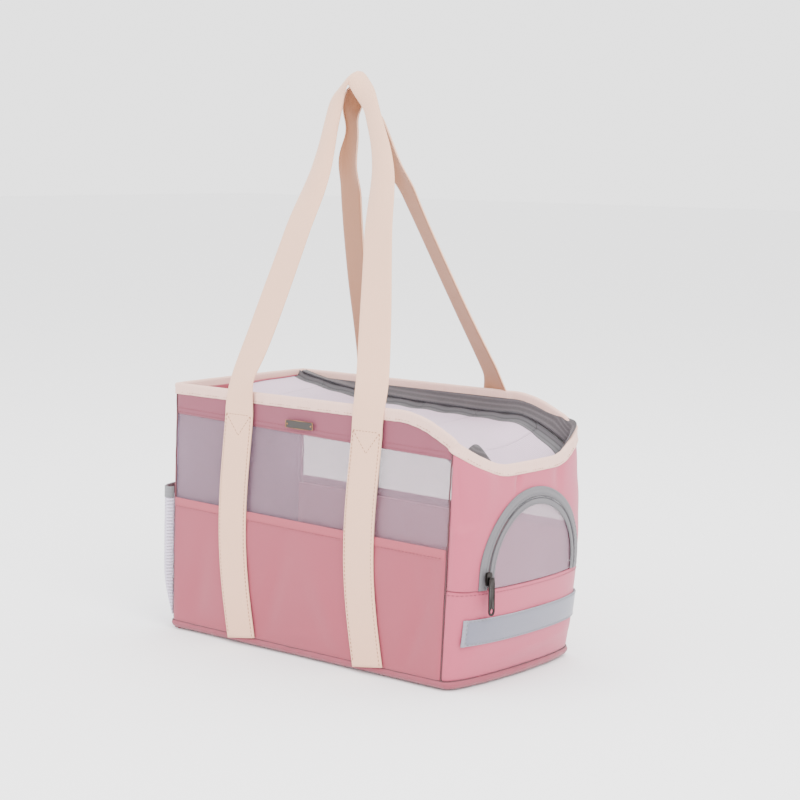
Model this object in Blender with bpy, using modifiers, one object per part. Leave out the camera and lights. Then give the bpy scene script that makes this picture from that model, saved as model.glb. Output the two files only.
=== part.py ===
"""Soft pet carrier bag: mesh windows, a zipped top cover, a zipped end door and two webbing handles.

The frame has its origin at the middle of the underside, +X towards the door end, -Y towards the
front and +Z up. Lengths are in metres. Every wall piece lies on one shared body surface, at its
own distance in front of or behind it, so neighbours stay parallel and keep their gaps.
"""
import math

import bpy
import numpy as np

COLLECTION = "pet_carrier_bag"

# The body surface: flat front and back walls, and end walls that swell out between their seams.
HALF_WIDTH = 0.097
SEAM_X = {"left": -0.186, "right": 0.173}
OUTWARD = {"left": -1.0, "right": 1.0}
SWELL_DEPTH = {"left": 0.010, "right": 0.034}
SWELL_MIDDLE = {"left": 0.130, "right": 0.108}
SWELL_REACH = {"left": 0.200, "right": 0.150}
SWELL_POWER = 0.7
RIM_Z = 0.260
DIP_START_X = {"front": 0.115, "back": 0.107}
DIP_RUN = 0.130
DIP_DEPTH = 0.050
BINDING_HEIGHT = 0.010
BINDING_GAP = 0.0012

# Heights of the sewn lines.
FLOOR_THICKNESS = 0.0025
WALL_BOTTOM = 0.0033
HEM_Z = {"left": 0.140, "right": 0.134}
WINDOW_TOP_Z = {"left": 0.2285, "right": 0.2195}
POCKET_BOTTOM = 0.0115
DOOR_SEAM_Z = 0.096
SEAM_GAP = 0.0003
CORNER_SEAM_GAP = 0.0018
PIPING_Z = 0.0085
PIPING_RADIUS = 0.0013

# Layers: nearest and farthest distance in front of the body surface.
WALL_LAYER = (-0.0022, 0.0)
WINDOW_LAYER = (-0.0016, -0.0006)
POCKET_LAYER = (0.0005, 0.0021)
STRAP_LAYER = (0.0026, 0.0046)
BINDING_LAYER = (-0.0031, 0.0010)
LABEL_LAYER = (0.0004, 0.0016)
TAPE_LAYER = (0.0003, 0.0010)
DOOR_LAYER = (-0.0013, -0.0003)
STRIP_LAYER = (0.0004, 0.0020)
INNER_TAPE_LAYER = (-0.0034, -0.0026)
PIPING_OUT = 0.0017

# Base board and pad, inside the body.
BOARD_X = (-0.179, 0.170)
BOARD_HALF_WIDTH = 0.087
BOARD_Z = (0.0030, 0.0060)
PAD_Z = (0.0065, 0.0265)
BOARD_CORNER = 0.018
PAD_EDGE = 0.006

# Webbing straps and handles.
WEBBING_WIDTH = 0.038
WEBBING_THICKNESS = 0.002
FOOT_X = {"left": -0.0915, "right": 0.0785}
STRAP_Z = (0.0102, 0.262)
HANDLE_TOP_Z = 0.577
HANDLE_TOP_Y = 0.003
HANDLE_FOOT_GAP = 0.0008
TWIST_START = 0.30
TWIST_END = 0.90
# Middle line of each handle, as (x, distance up the leaning plane), from left foot to right foot.
HANDLE_LINE = {
    "front": [(-0.0915, 0.0), (-0.091, 0.014), (-0.079, 0.062), (-0.058, 0.174), (-0.048, 0.250),
              (-0.046, 0.288), (-0.041, 0.310), (-0.023, 0.329), (-0.001, 0.310), (0.013, 0.286),
              (0.032, 0.232), (0.057, 0.124), (0.076, 0.030), (0.078, 0.014), (0.0785, 0.0)],
    "back": [(-0.0915, 0.0), (-0.091, 0.014), (-0.083, 0.111), (-0.064, 0.215), (-0.044, 0.265),
             (-0.039, 0.286), (-0.025, 0.301), (-0.008, 0.286), (0.000, 0.262), (0.014, 0.200),
             (0.048, 0.094), (0.074, 0.025), (0.078, 0.014), (0.0785, 0.0)],
}
HANDLE_STEPS = 4

# Arched door in the right end, centred on y = 0.
ARCH_Z = 0.108
HOLE_RADIUS = 0.070
COIL_RADIUS = 0.0676
WALL_TAPE_RADII = (0.0690, 0.0765)
DOOR_TAPE_RADII = (0.0585, 0.0660)
DOOR_RADIUS = 0.0658
DOOR_BOTTOM = 0.0968
COIL_THICKNESS = 0.0010
SLIDER_RADIUS = 0.0720
SLIDER_SIZE = (0.0034, 0.0088, 0.0130)
SLIDER_X = 0.2051
PULL_X = 0.2084
PULL_Z = 0.1095
PULL_LENGTH = 0.036
PULL_WIDTH = 0.0088
PULL_THICKNESS = 0.0014
PULL_HOLE_RADIUS = 0.0021

# Hook-and-loop strip under the door.
STRIP_Z = (0.0435, 0.0685)
STRIP_TURN = (-66.0, 78.0)

# Side pocket on the left end.
SIDE_POCKET_TURN = 76.0
SIDE_POCKET_Z = (0.015, 0.1400)
SIDE_POCKET_BELLY = 0.0150
ELASTIC_Z = (0.1404, 0.1510)
SIDE_POCKET_WALL = 0.0010

# Top closure.
TAPE_BELOW_RIM = (0.0265, 0.0110)
TOP_COIL_BELOW_RIM = 0.0215
TOP_COIL_LAYER = -0.0047
TOP_TAPE_START_X = {"front": -0.134, "back": -0.176}
FACING_Z = (0.2345, 0.2490)
COVER_LEFT_X = -0.183
COVER_PANEL_LENGTH = 0.070
COVER_FLAT_PANELS = 4
COVER_TOP_Z = 0.2320
COVER_END = (0.184, 0.1990)
COVER_HALF_WIDTH = 0.0868
COVER_THICKNESS = 0.0012
COVER_GAP = 0.0005
ANCHOR_X = -0.1865
ANCHOR_HALF_WIDTH = 0.0858
COVER_CORNER = 0.035
TOP_SLIDER_X = 0.104
TOP_SLIDER_Y = -0.0890
TOP_SLIDER_Z = 0.2385
TOP_SLIDER_SIZE = (0.0130, 0.0034, 0.0080)
TOP_PULL_Y = -0.0863
TOP_PULL_Z = 0.2335

LABEL_CENTRE = (-0.0095, 0.2338)
LABEL_SIZE = (0.037, 0.009)

FINISHES = {
    "pink_fabric": ((0.63, 0.28, 0.32, 1.0), 0.75, 0.0),
    "light_pink_fabric": ((0.72, 0.37, 0.42, 1.0), 0.75, 0.0),
    "lining": ((0.66, 0.62, 0.66, 1.0), 0.8, 0.0),
    "mesh": ((0.72, 0.70, 0.74, 1.0), 0.7, 0.0),
    "cream_webbing": ((0.78, 0.69, 0.60, 1.0), 0.8, 0.0),
    "binding": ((0.86, 0.80, 0.74, 1.0), 0.75, 0.0),
    "zip_tape": ((0.42, 0.42, 0.44, 1.0), 0.7, 0.0),
    "zip_coil": ((0.30, 0.30, 0.32, 1.0), 0.5, 0.0),
    "strip_grey": ((0.50, 0.51, 0.54, 1.0), 0.8, 0.0),
    "gunmetal": ((0.12, 0.11, 0.10, 1.0), 0.35, 1.0),
    "label_brown": ((0.07, 0.05, 0.045, 1.0), 0.5, 0.0),
    "pad_fabric": ((0.70, 0.36, 0.41, 1.0), 0.8, 0.0),
    "board_grey": ((0.10, 0.10, 0.11, 1.0), 0.6, 0.0),
}


def clear_scene():
    """Remove every object that the file starts with."""
    for old in list(bpy.data.objects):
        bpy.data.objects.remove(old, do_unlink=True)


def new_collection(name):
    """Return a fresh collection linked to the scene."""
    collection = bpy.data.collections.new(name)
    bpy.context.scene.collection.children.link(collection)
    return collection


def finish(name):
    """Return the named Principled material, made the first time it is asked for."""
    if name in bpy.data.materials:
        return bpy.data.materials[name]
    colour, roughness, metallic = FINISHES[name]
    material = bpy.data.materials.new(name)
    material.use_nodes = True
    shader = material.node_tree.nodes["Principled BSDF"]
    shader.inputs["Base Color"].default_value = colour
    shader.inputs["Roughness"].default_value = roughness
    shader.inputs["Metallic"].default_value = metallic
    return material


def add_object(name, data, finish_name, parent=None):
    """Link an object into the bag's collection, with its material and its parent."""
    piece = bpy.data.objects.new(name, data)
    bpy.data.collections[COLLECTION].objects.link(piece)
    data.materials.append(finish(finish_name))
    if parent is not None:
        piece.parent = parent
        piece.matrix_parent_inverse.identity()
    return piece


def add_axis(name, position):
    """An empty on a joint's axis; the pieces of the moving body are its children."""
    empty = bpy.data.objects.new(name, None)
    empty.location = position
    bpy.data.collections[COLLECTION].objects.link(empty)
    return empty


# ---- the body surface ----

def swell(end, z):
    """How far an end wall stands out from its seams at height z: a shallow parabola."""
    return SWELL_DEPTH[end] * (1.0 - ((z - SWELL_MIDDLE[end]) / SWELL_REACH[end]) ** 2)


def wall_points(wall, across, z, out):
    """Points at distance out in front of a wall.

    On the front and back walls, across is x. On an end wall it is an angle, from -90 degrees at
    the front seam to 90 at the back seam: y is HALF_WIDTH times its sine, and the wall stands out
    by the swell times its cosine to a power below one, which gives a flat end with round corners.
    """
    across, z = np.broadcast_arrays(across, z)
    if wall in ("front", "back"):
        side = -1.0 if wall == "front" else 1.0
        return np.stack([across, np.full(across.shape, side * (HALF_WIDTH + out)), z], axis=-1)
    depth = swell(wall, z)
    cosine = np.clip(np.cos(across), 0.0, 1.0)
    normal_x = 2.0 / SWELL_POWER / depth * cosine ** (2.0 - SWELL_POWER)
    normal_y = 2.0 * np.sin(across) / HALF_WIDTH
    length = np.hypot(normal_x, normal_y)
    x = depth * cosine ** SWELL_POWER + out * normal_x / length
    y = HALF_WIDTH * np.sin(across) + out * normal_y / length
    return np.stack([SEAM_X[wall] + OUTWARD[wall] * x, y, z], axis=-1)


def end_x(y, z, out):
    """The x of the right end wall at (y, z), moved out by a distance."""
    angle = np.arcsin(np.clip(y / HALF_WIDTH, -1.0, 1.0))
    return wall_points("right", angle, z, 0.0)[..., 0] + out


def turn(first, last, steps):
    """Angles across an end wall, in equal steps."""
    return np.radians(np.linspace(first, last, steps + 1))


END_TURN = turn(-90.0, 90.0, 36)


def rim_height(wall, across):
    """Height of the mouth's edge: level, then a smooth dip down to the right end."""
    across = np.asarray(across, dtype=float)
    if wall == "left":
        return np.full(across.shape, RIM_Z)
    nearer = np.where(across < 0.0, "front", "back") if wall == "right" else np.full(across.shape, wall)
    start = np.where(nearer == "front", DIP_START_X["front"], DIP_START_X["back"])
    if wall == "right":
        middle = wall_points("right", END_TURN, np.full(END_TURN.shape, RIM_Z - DIP_DEPTH), 0.0)
        steps = np.linalg.norm(np.diff(middle[:, :2], axis=0), axis=1)
        run_on_end = np.concatenate([[0.0], np.cumsum(steps)])
        from_seam = np.interp(np.pi / 2 - np.abs(across), END_TURN + np.pi / 2, run_on_end)
        run = SEAM_X["right"] - start + from_seam
    else:
        run = across - start
    share = np.clip(run / DIP_RUN, 0.0, 1.0)
    return RIM_Z - DIP_DEPTH * share * share * (3.0 - 2.0 * share)


def sloping(heights):
    """A height that runs in a straight line from the left seam to the right seam."""
    def height(wall, across):
        if wall in ("left", "right"):
            return np.full(np.shape(across), heights[wall])
        share = (across - SEAM_X["left"]) / (SEAM_X["right"] - SEAM_X["left"])
        return heights["left"] + share * (heights["right"] - heights["left"])
    return height


def level(z):
    """The same height all along."""
    return lambda wall, across: np.full(np.shape(across), z)


def below_rim(distance):
    """A height at a distance below the mouth's edge."""
    return lambda wall, across: rim_height(wall, across) - distance


# ---- builders ----

def sheet(name, points, thickness, finish_name, parent=None):
    """A loft over a grid of points, thickened evenly to both sides by Solidify."""
    rows, columns = points.shape[:2]
    index = np.arange(rows * columns).reshape(rows, columns)
    faces = np.stack([index[:-1, :-1], index[:-1, 1:], index[1:, 1:], index[1:, :-1]], axis=-1)
    mesh = bpy.data.meshes.new(name)
    mesh.from_pydata(points.reshape(-1, 3).tolist(), [], faces.reshape(-1, 4).tolist())
    mesh.update()
    piece = add_object(name, mesh, finish_name, parent)
    thicken = piece.modifiers.new("thickness", "SOLIDIFY")
    thicken.thickness = thickness
    thicken.offset = 0.0
    return piece


def wall_band(name, stretches, bottom, top, layer, finish_name, rows=1, parent=None):
    """A sheet on the body surface between two heights, along one or more walls in turn."""
    middle = sum(layer) / 2.0
    grids = []
    for wall, across in stretches:
        low, high = bottom(wall, across), top(wall, across)
        share = np.linspace(0.0, 1.0, rows + 1)[:, None]
        grid = wall_points(wall, across[None, :], low + share * (high - low), middle)
        grids.append(grid if not grids else grid[:, 1:])
    points = np.concatenate(grids, axis=1)
    return sheet(name, points, layer[1] - layer[0], finish_name, parent)


def tube(name, points, radius, finish_name, closed=False, parent=None):
    """A round cord along points, as a curve with a bevel depth and filled caps."""
    curve = bpy.data.curves.new(name, "CURVE")
    curve.dimensions = "3D"
    curve.bevel_depth = radius
    curve.bevel_resolution = 1
    curve.use_fill_caps = True
    spline = curve.splines.new("POLY")
    spline.points.add(len(points) - 1)
    for target, point in zip(spline.points, points):
        target.co = (*point, 1.0)
    spline.use_cyclic_u = closed
    return add_object(name, curve, finish_name, parent)


def block(name, low, high, finish_name, corner=0.0, edge=0.0, parent=None, origin=(0.0, 0.0, 0.0),
          corners_beyond=-1.0):
    """A box between two corners, with rounded upright corners and softened edges.

    Only the upright corners whose x is beyond the given one are rounded.
    """
    size = [high[axis] - low[axis] for axis in range(3)]
    centre = [(high[axis] + low[axis]) / 2.0 - origin[axis] for axis in range(3)]
    bpy.ops.mesh.primitive_cube_add(size=1.0)
    made = bpy.context.active_object
    mesh = made.data
    bpy.data.objects.remove(made, do_unlink=True)
    for vertex in mesh.vertices:
        vertex.co = [vertex.co[axis] * size[axis] + centre[axis] for axis in range(3)]
    mesh.name = name
    piece = add_object(name, mesh, finish_name, parent)
    if corner > 0.0:
        weights = mesh.attributes.new("bevel_weight_edge", "FLOAT", "EDGE")
        for line in mesh.edges:
            first, last = (mesh.vertices[number].co for number in line.vertices)
            upright = abs(first.z - last.z) > size[2] / 2.0
            weights.data[line.index].value = float(upright and first.x > corners_beyond)
        rounding = piece.modifiers.new("upright_corners", "BEVEL")
        rounding.limit_method = "WEIGHT"
        rounding.width = corner
        rounding.segments = 6
    if edge > 0.0:
        softening = piece.modifiers.new("soft_edges", "BEVEL")
        softening.limit_method = "ANGLE"
        softening.angle_limit = math.radians(50.0)
        softening.width = edge
        softening.segments = 2
    return piece


def plate_with_hole(name, length, width, thickness, hole_radius, finish_name, parent, rotation):
    """A pull tab: a flat outline with a half-round end and a hole, extruded to its thickness.

    It hangs from its origin along its own -Y, and rotation turns it into place.
    """
    curve = bpy.data.curves.new(name, "CURVE")
    curve.dimensions = "2D"
    curve.fill_mode = "BOTH"
    curve.extrude = thickness / 2.0
    half = width / 2.0
    arc = np.radians(np.linspace(180.0, 360.0, 9))
    outline = [(half, 0.0), (-half, 0.0)]
    outline += [(half * math.cos(a), half - length + half * math.sin(a)) for a in arc]
    around = np.radians(np.arange(0.0, 360.0, 36.0))
    hole = [(hole_radius * math.cos(a), half - length + hole_radius * math.sin(a)) for a in around]
    for loop in (outline, hole):
        spline = curve.splines.new("POLY")
        spline.points.add(len(loop) - 1)
        for target, point in zip(spline.points, loop):
            target.co = (*point, 0.0, 1.0)
        spline.use_cyclic_u = True
    tab = add_object(name, curve, finish_name, parent)
    tab.rotation_euler = rotation
    return tab


# ---- the body ----

def front_columns():
    """Positions across the front or back wall, closer together along the dip."""
    flat = np.linspace(SEAM_X["left"] + CORNER_SEAM_GAP, DIP_START_X["back"], 5)
    dip = np.linspace(DIP_START_X["back"], SEAM_X["right"] - CORNER_SEAM_GAP, 10)
    return np.concatenate([flat, dip[1:]])


def build_walls():
    """Front and back walls: lower panel, mesh window and top band, each with its own seam gap."""
    columns = front_columns()
    for wall in ("front", "back"):
        lower_top = sloping({end: z - SEAM_GAP for end, z in HEM_Z.items()})
        window_bottom = sloping({end: z + SEAM_GAP for end, z in HEM_Z.items()})
        window_top = sloping({end: z - SEAM_GAP for end, z in WINDOW_TOP_Z.items()})
        band_bottom = sloping({end: z + SEAM_GAP for end, z in WINDOW_TOP_Z.items()})
        band_top = below_rim(BINDING_HEIGHT + BINDING_GAP)
        wall_band(f"{wall}_lower_panel", [(wall, columns)], level(WALL_BOTTOM), lower_top,
                  WALL_LAYER, "pink_fabric")
        wall_band(f"{wall}_window", [(wall, columns)], window_bottom, window_top,
                  WINDOW_LAYER, "mesh")
        wall_band(f"{wall}_top_band", [(wall, columns)], band_bottom, band_top,
                  WALL_LAYER, "pink_fabric")
        hem = sloping(HEM_Z)
        pocket_columns = np.linspace(SEAM_X["left"] + 0.002, SEAM_X["right"] - 0.002, 7)
        wall_band(f"{wall}_pocket", [(wall, pocket_columns)], level(POCKET_BOTTOM), hem,
                  POCKET_LAYER, "pink_fabric")


def build_ends():
    """End walls: one panel on the left; two on the right, the upper one cut out for the door."""
    end_top = below_rim(BINDING_HEIGHT + BINDING_GAP)
    wall_band("left_end_panel", [("left", END_TURN)], level(WALL_BOTTOM), end_top,
              WALL_LAYER, "lining", rows=6)
    wall_band("end_lower_panel", [("right", END_TURN)], level(WALL_BOTTOM),
              level(DOOR_SEAM_Z - SEAM_GAP), WALL_LAYER, "light_pink_fabric", rows=5)
    upper = wall_band("end_upper_panel", [("right", END_TURN)], level(DOOR_SEAM_Z + SEAM_GAP),
                      end_top, WALL_LAYER, "light_pink_fabric", rows=6)
    cut = upper.modifiers.new("doorway", "BOOLEAN")
    cut.operation = "DIFFERENCE"
    cut.solver = "EXACT"
    cut.object = door_cutter()


def arch_line(radius, foot_z, steps=24):
    """(y, z) points up one side, over the arch and down the other side, at a radius."""
    arc = np.radians(np.linspace(180.0, 0.0, steps + 1))
    over = np.stack([radius * np.cos(arc), ARCH_Z + radius * np.sin(arc)], axis=-1)
    return np.concatenate([[(-radius, foot_z)], over, [(radius, foot_z)]])


def door_cutter():
    """The doorway as a solid that runs through the end wall along X."""
    outline = arch_line(HOLE_RADIUS, DOOR_SEAM_Z - 0.02, steps=36)
    count = len(outline)
    near, far = SEAM_X["right"] - 0.03, SEAM_X["right"] + 0.08
    points = [(near, y, z) for y, z in outline] + [(far, y, z) for y, z in outline]
    sides = [(i, i + count, (i + 1) % count + count, (i + 1) % count) for i in range(count)]
    caps = [tuple(range(count)), tuple(reversed(range(count, 2 * count)))]
    mesh = bpy.data.meshes.new("doorway_cutter")
    mesh.from_pydata(points, [], sides + caps)
    mesh.update()
    cutter = bpy.data.objects.new("doorway_cutter", mesh)
    bpy.data.collections["cutters"].objects.link(cutter)
    cutter.hide_render = True
    cutter.display_type = "WIRE"
    return cutter


def body_ring(z, out):
    """Points all round the body at one height, in order, each corner given once."""
    front = np.linspace(SEAM_X["left"], SEAM_X["right"], 9)
    ends = turn(-90.0, 90.0, 24)
    stretches = [("front", front), ("right", ends), ("back", front[::-1]), ("left", ends[::-1])]
    return np.concatenate([wall_points(wall, across, np.full(across.shape, z), out)[:-1]
                           for wall, across in stretches])


def build_base():
    """Floor panel, its piping, the stiff board and the soft pad."""
    ring = body_ring(FLOOR_THICKNESS / 2.0, -0.0010)
    mesh = bpy.data.meshes.new("floor_panel")
    mesh.from_pydata(ring.tolist(), [], [tuple(range(len(ring)))])
    mesh.update()
    floor = add_object("floor_panel", mesh, "pink_fabric")
    thicken = floor.modifiers.new("thickness", "SOLIDIFY")
    thicken.thickness = FLOOR_THICKNESS
    thicken.offset = 0.0
    tube("base_piping", body_ring(PIPING_Z, PIPING_OUT), PIPING_RADIUS, "pink_fabric", closed=True)
    block("base_board", (BOARD_X[0], -BOARD_HALF_WIDTH, BOARD_Z[0]),
          (BOARD_X[1], BOARD_HALF_WIDTH, BOARD_Z[1]), "board_grey", corner=BOARD_CORNER)
    block("pad", (BOARD_X[0], -BOARD_HALF_WIDTH, PAD_Z[0]),
          (BOARD_X[1], BOARD_HALF_WIDTH, PAD_Z[1]), "pad_fabric", corner=BOARD_CORNER, edge=PAD_EDGE)


def build_trim():
    """Binding round the mouth in four lengths, seam pipings, label plate and the strip."""
    columns = front_columns()
    low, high = below_rim(BINDING_HEIGHT), below_rim(0.0)
    for wall in ("front", "back"):
        wall_band(f"{wall}_binding", [(wall, columns)], low, high, BINDING_LAYER, "binding")
    for end in ("left", "right"):
        wall_band(f"{end}_binding", [(end, END_TURN)], low, high, BINDING_LAYER, "binding")
    for end, seam_x in SEAM_X.items():
        for side, wall in ((-1.0, "front"), (1.0, "back")):
            top_z = float(rim_height(wall, seam_x)) - BINDING_HEIGHT - 0.001
            heights = np.linspace(POCKET_BOTTOM, top_z, 4)
            points = [(seam_x, side * (HALF_WIDTH + PIPING_OUT), z) for z in heights]
            tube(f"seam_piping_{wall}_{end}", points, PIPING_RADIUS, "pink_fabric")
    x, z = LABEL_CENTRE
    width, height = LABEL_SIZE
    block("label_plate", (x - width / 2, -HALF_WIDTH - LABEL_LAYER[1], z - height / 2),
          (x + width / 2, -HALF_WIDTH - LABEL_LAYER[0], z + height / 2), "label_brown", edge=0.0003)
    wall_band("hook_loop_strip", [("right", turn(*STRIP_TURN, 24))], level(STRIP_Z[0]),
              level(STRIP_Z[1]), STRIP_LAYER, "strip_grey", rows=2)


def build_side_pocket():
    """Mesh bottle pocket on the left end: fixed at its sides and foot, bellied out at its mouth."""
    angles = turn(-SIDE_POCKET_TURN, SIDE_POCKET_TURN, 24)

    def grid(z, closed_share):
        """Belly times the square root of a cosine across, rising from the foot by closed_share."""
        across_share = np.sqrt(np.clip(np.cos(angles / np.radians(SIDE_POCKET_TURN) * np.pi / 2),
                                       0.0, 1.0))
        out = POCKET_LAYER[0] + SIDE_POCKET_WALL / 2 + SIDE_POCKET_BELLY * across_share * closed_share
        points = wall_points("left", angles, np.full(angles.shape, z), 0.0)
        front_normal = wall_points("left", angles, np.full(angles.shape, z), 1.0) - points
        return points + out[:, None] * front_normal

    heights = np.linspace(*SIDE_POCKET_Z, 9)
    share = np.clip((heights - SIDE_POCKET_Z[0]) / 0.05, 0.0, 1.0)
    rise = np.sin(share * np.pi / 2)
    sheet("side_pocket", np.stack([grid(z, s) for z, s in zip(heights, rise)]),
          SIDE_POCKET_WALL, "mesh")
    sheet("side_pocket_elastic", np.stack([grid(z, 1.0) for z in ELASTIC_Z]),
          SIDE_POCKET_WALL, "strip_grey")


# ---- straps and handles ----

def build_straps():
    """Four webbing tails sewn flat on the front and back walls."""
    for wall in ("front", "back"):
        for end, foot_x in FOOT_X.items():
            columns = foot_x + WEBBING_WIDTH * np.array([-0.5, 0.5])
            wall_band(f"strap_{wall}_{end}", [(wall, columns)], level(STRAP_Z[0]),
                      level(STRAP_Z[1]), STRAP_LAYER, "cream_webbing")


def smooth_line(points, steps):
    """A Catmull-Rom curve through the points, with the given number of steps between two."""
    points = np.asarray(points)
    padded = np.concatenate([[2 * points[0] - points[1]], points, [2 * points[-1] - points[-2]]])
    share = np.arange(steps)[:, None] / steps
    pieces = []
    for a, b, c, d in zip(padded, padded[1:], padded[2:], padded[3:]):
        pieces.append(b + 0.5 * share * (c - a + share * (2 * a - 5 * b + 4 * c - d
                                                        + share * (3 * (b - c) + d - a))))
    return np.concatenate(pieces + [points[-1:]])


def build_handle(wall):
    """One webbing handle on its hinge line at the mouth's edge, leaning in over the bag.

    The webbing faces outward at its feet and turns to face away from the loop's middle at the top:
    its facing is the cosine of the twist times the plane's outward normal, plus the sine times the
    loop's own outward normal.
    """
    side = -1.0 if wall == "front" else 1.0
    pivot = np.array([0.0, side * (HALF_WIDTH + STRAP_LAYER[1]), STRAP_Z[1] + SEAM_GAP])
    up = np.array([0.0, side * HANDLE_TOP_Y, HANDLE_TOP_Z]) - pivot
    up /= np.linalg.norm(up)
    out = np.array([0.0, side * up[2], -side * up[1]])
    line = smooth_line(HANDLE_LINE[wall], HANDLE_STEPS)
    middle = line[:, :1] * np.array([1.0, 0.0, 0.0]) + (line[:, 1:] + HANDLE_FOOT_GAP) * up
    middle = pivot + middle - out * WEBBING_THICKNESS / 2.0
    tangent = np.gradient(middle, axis=0)
    tangent[0], tangent[-1] = up, -up
    tangent /= np.linalg.norm(tangent, axis=1, keepdims=True)
    loop_out = side * np.cross(tangent, out)
    share = line[:, 1] / line[:, 1].max()
    share = np.clip((share - TWIST_START) / (TWIST_END - TWIST_START), 0.0, 1.0)
    twist = (np.pi / 2 * share * share * (3.0 - 2.0 * share))[:, None]
    facing = np.cos(twist) * out + np.sin(twist) * loop_out
    across = np.cross(tangent, facing)
    edges = [middle - pivot + across * WEBBING_WIDTH * place for place in (-0.5, 0.0, 0.5)]
    axis = add_axis(f"{wall}_handle_axis", tuple(pivot))
    return sheet(f"handle_{wall}", np.stack(edges, axis=1), WEBBING_THICKNESS, "cream_webbing", axis)


# ---- the end door ----

def arch_sheet(name, radii, layer, finish_name, parent=None, origin=(0.0, 0.0, 0.0)):
    """A flat tape that follows the arch between two radii, on the end wall's surface."""
    inner, outer = (arch_line(radius, DOOR_BOTTOM) for radius in radii)
    share = np.linspace(0.0, 1.0, 3)[None, :, None]
    flat = inner[:, None, :] + share * (outer - inner)[:, None, :]
    x = end_x(flat[..., 0], flat[..., 1], sum(layer) / 2.0)
    points = np.concatenate([x[..., None], flat], axis=-1) - np.array(origin)
    return sheet(name, points, layer[1] - layer[0], finish_name, parent)


def build_door():
    """Arched mesh door on a hinge line along its foot, its tapes, coil, slider and pull."""
    hinge = (end_x(0.0, DOOR_BOTTOM, 0.0020).item(), 0.0, DOOR_BOTTOM - SEAM_GAP)
    axis = add_axis("door_axis", hinge)
    across = turn(-90.0, 90.0, 20)
    y = DOOR_RADIUS * np.sin(across)
    top = ARCH_Z + DOOR_RADIUS * np.cos(across)
    share = np.linspace(0.0, 1.0, 7)[:, None]
    z = DOOR_BOTTOM + share * (top - DOOR_BOTTOM)
    y = np.broadcast_to(y, z.shape)
    points = np.stack([end_x(y, z, sum(DOOR_LAYER) / 2.0), y, z], axis=-1) - np.array(hinge)
    sheet("door_mesh", points, DOOR_LAYER[1] - DOOR_LAYER[0], "mesh", axis)
    arch_sheet("door_edge_tape", DOOR_TAPE_RADII, TAPE_LAYER, "zip_tape", axis, hinge)
    arch_sheet("door_zip_tape", WALL_TAPE_RADII, TAPE_LAYER, "zip_tape")
    line = arch_line(COIL_RADIUS, DOOR_BOTTOM + 0.001)
    coil_x = end_x(line[:, 0], line[:, 1], COIL_THICKNESS + 0.0004)
    tube("door_zip_teeth", np.column_stack([coil_x, line]), COIL_THICKNESS, "zip_coil")

    travel = add_axis("door_slider_axis", (SLIDER_X, 0.0, ARCH_Z))
    low = (SLIDER_X - SLIDER_SIZE[0] / 2, -SLIDER_RADIUS - SLIDER_SIZE[1] / 2,
           ARCH_Z - SLIDER_SIZE[2] / 2)
    high = (SLIDER_X + SLIDER_SIZE[0] / 2, -SLIDER_RADIUS + SLIDER_SIZE[1] / 2,
            ARCH_Z + SLIDER_SIZE[2] / 2)
    block("door_slider", low, high, "gunmetal", edge=0.0008, parent=travel,
          origin=(SLIDER_X, 0.0, ARCH_Z))
    hang = add_axis("door_pull_axis", (PULL_X, -SLIDER_RADIUS, PULL_Z))
    plate_with_hole("door_pull", PULL_LENGTH, PULL_WIDTH, PULL_THICKNESS, PULL_HOLE_RADIUS,
                    "gunmetal", hang, (math.pi / 2, 0.0, math.pi / 2))


# ---- the top closure ----

def build_top_tapes():
    """Zip band round the inside of the mouth, its coil, and the facing and ledge at the left end."""
    front, back = (np.linspace(TOP_TAPE_START_X[wall], SEAM_X["right"], 16)
                   for wall in ("front", "back"))
    path = [("front", front), ("right", turn(-90.0, 90.0, 24)), ("back", back[::-1])]
    wall_band("top_zip_tape", path, below_rim(TAPE_BELOW_RIM[0]), below_rim(TAPE_BELOW_RIM[1]),
              INNER_TAPE_LAYER, "zip_tape")
    coil = []
    for wall, across in path:
        heights = rim_height(wall, across) - TOP_COIL_BELOW_RIM
        run = wall_points(wall, across, heights, TOP_COIL_LAYER)
        coil.append(run if not coil else run[1:])
    tube("top_zip_teeth", np.concatenate(coil), COIL_THICKNESS, "zip_coil")
    wall_band("left_facing", [("left", turn(-75.0, 75.0, 20))], level(FACING_Z[0]),
              level(FACING_Z[1]), INNER_TAPE_LAYER, "light_pink_fabric")
    block("cover_anchor", (ANCHOR_X, -ANCHOR_HALF_WIDTH, COVER_TOP_Z - COVER_THICKNESS),
          (COVER_LEFT_X - COVER_GAP, ANCHOR_HALF_WIDTH, COVER_TOP_Z), "light_pink_fabric")


def cover_folds():
    """The fold lines of the top cover, from the left end, as (x, z of the cover's top face)."""
    folds = [(COVER_LEFT_X + COVER_PANEL_LENGTH * number, COVER_TOP_Z)
             for number in range(COVER_FLAT_PANELS + 1)]
    return folds + [COVER_END]


def build_cover():
    """Top cover in five panels that fold like a concertina: valleys on top, peaks underneath."""
    folds = cover_folds()
    for number, (start, end) in enumerate(zip(folds, folds[1:]), start=1):
        run = math.hypot(end[0] - start[0], end[1] - start[1])
        slope = math.atan2(start[1] - end[1], end[0] - start[0])
        on_top = number % 2 == 0
        pivot_z = start[1] if on_top else start[1] - COVER_THICKNESS
        axis = add_axis(f"cover_fold_{number}_axis", (start[0], 0.0, pivot_z))
        top = start[1] - pivot_z
        is_last = number == len(folds) - 1
        panel = block(f"cover_panel_{number}", (COVER_GAP / 2, -COVER_HALF_WIDTH, top - COVER_THICKNESS),
                      (run - COVER_GAP / 2, COVER_HALF_WIDTH, top), "mesh", parent=axis,
                      corner=COVER_CORNER if is_last else 0.0, corners_beyond=run / 2)
        panel.rotation_euler = (0.0, slope, 0.0)


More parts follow.
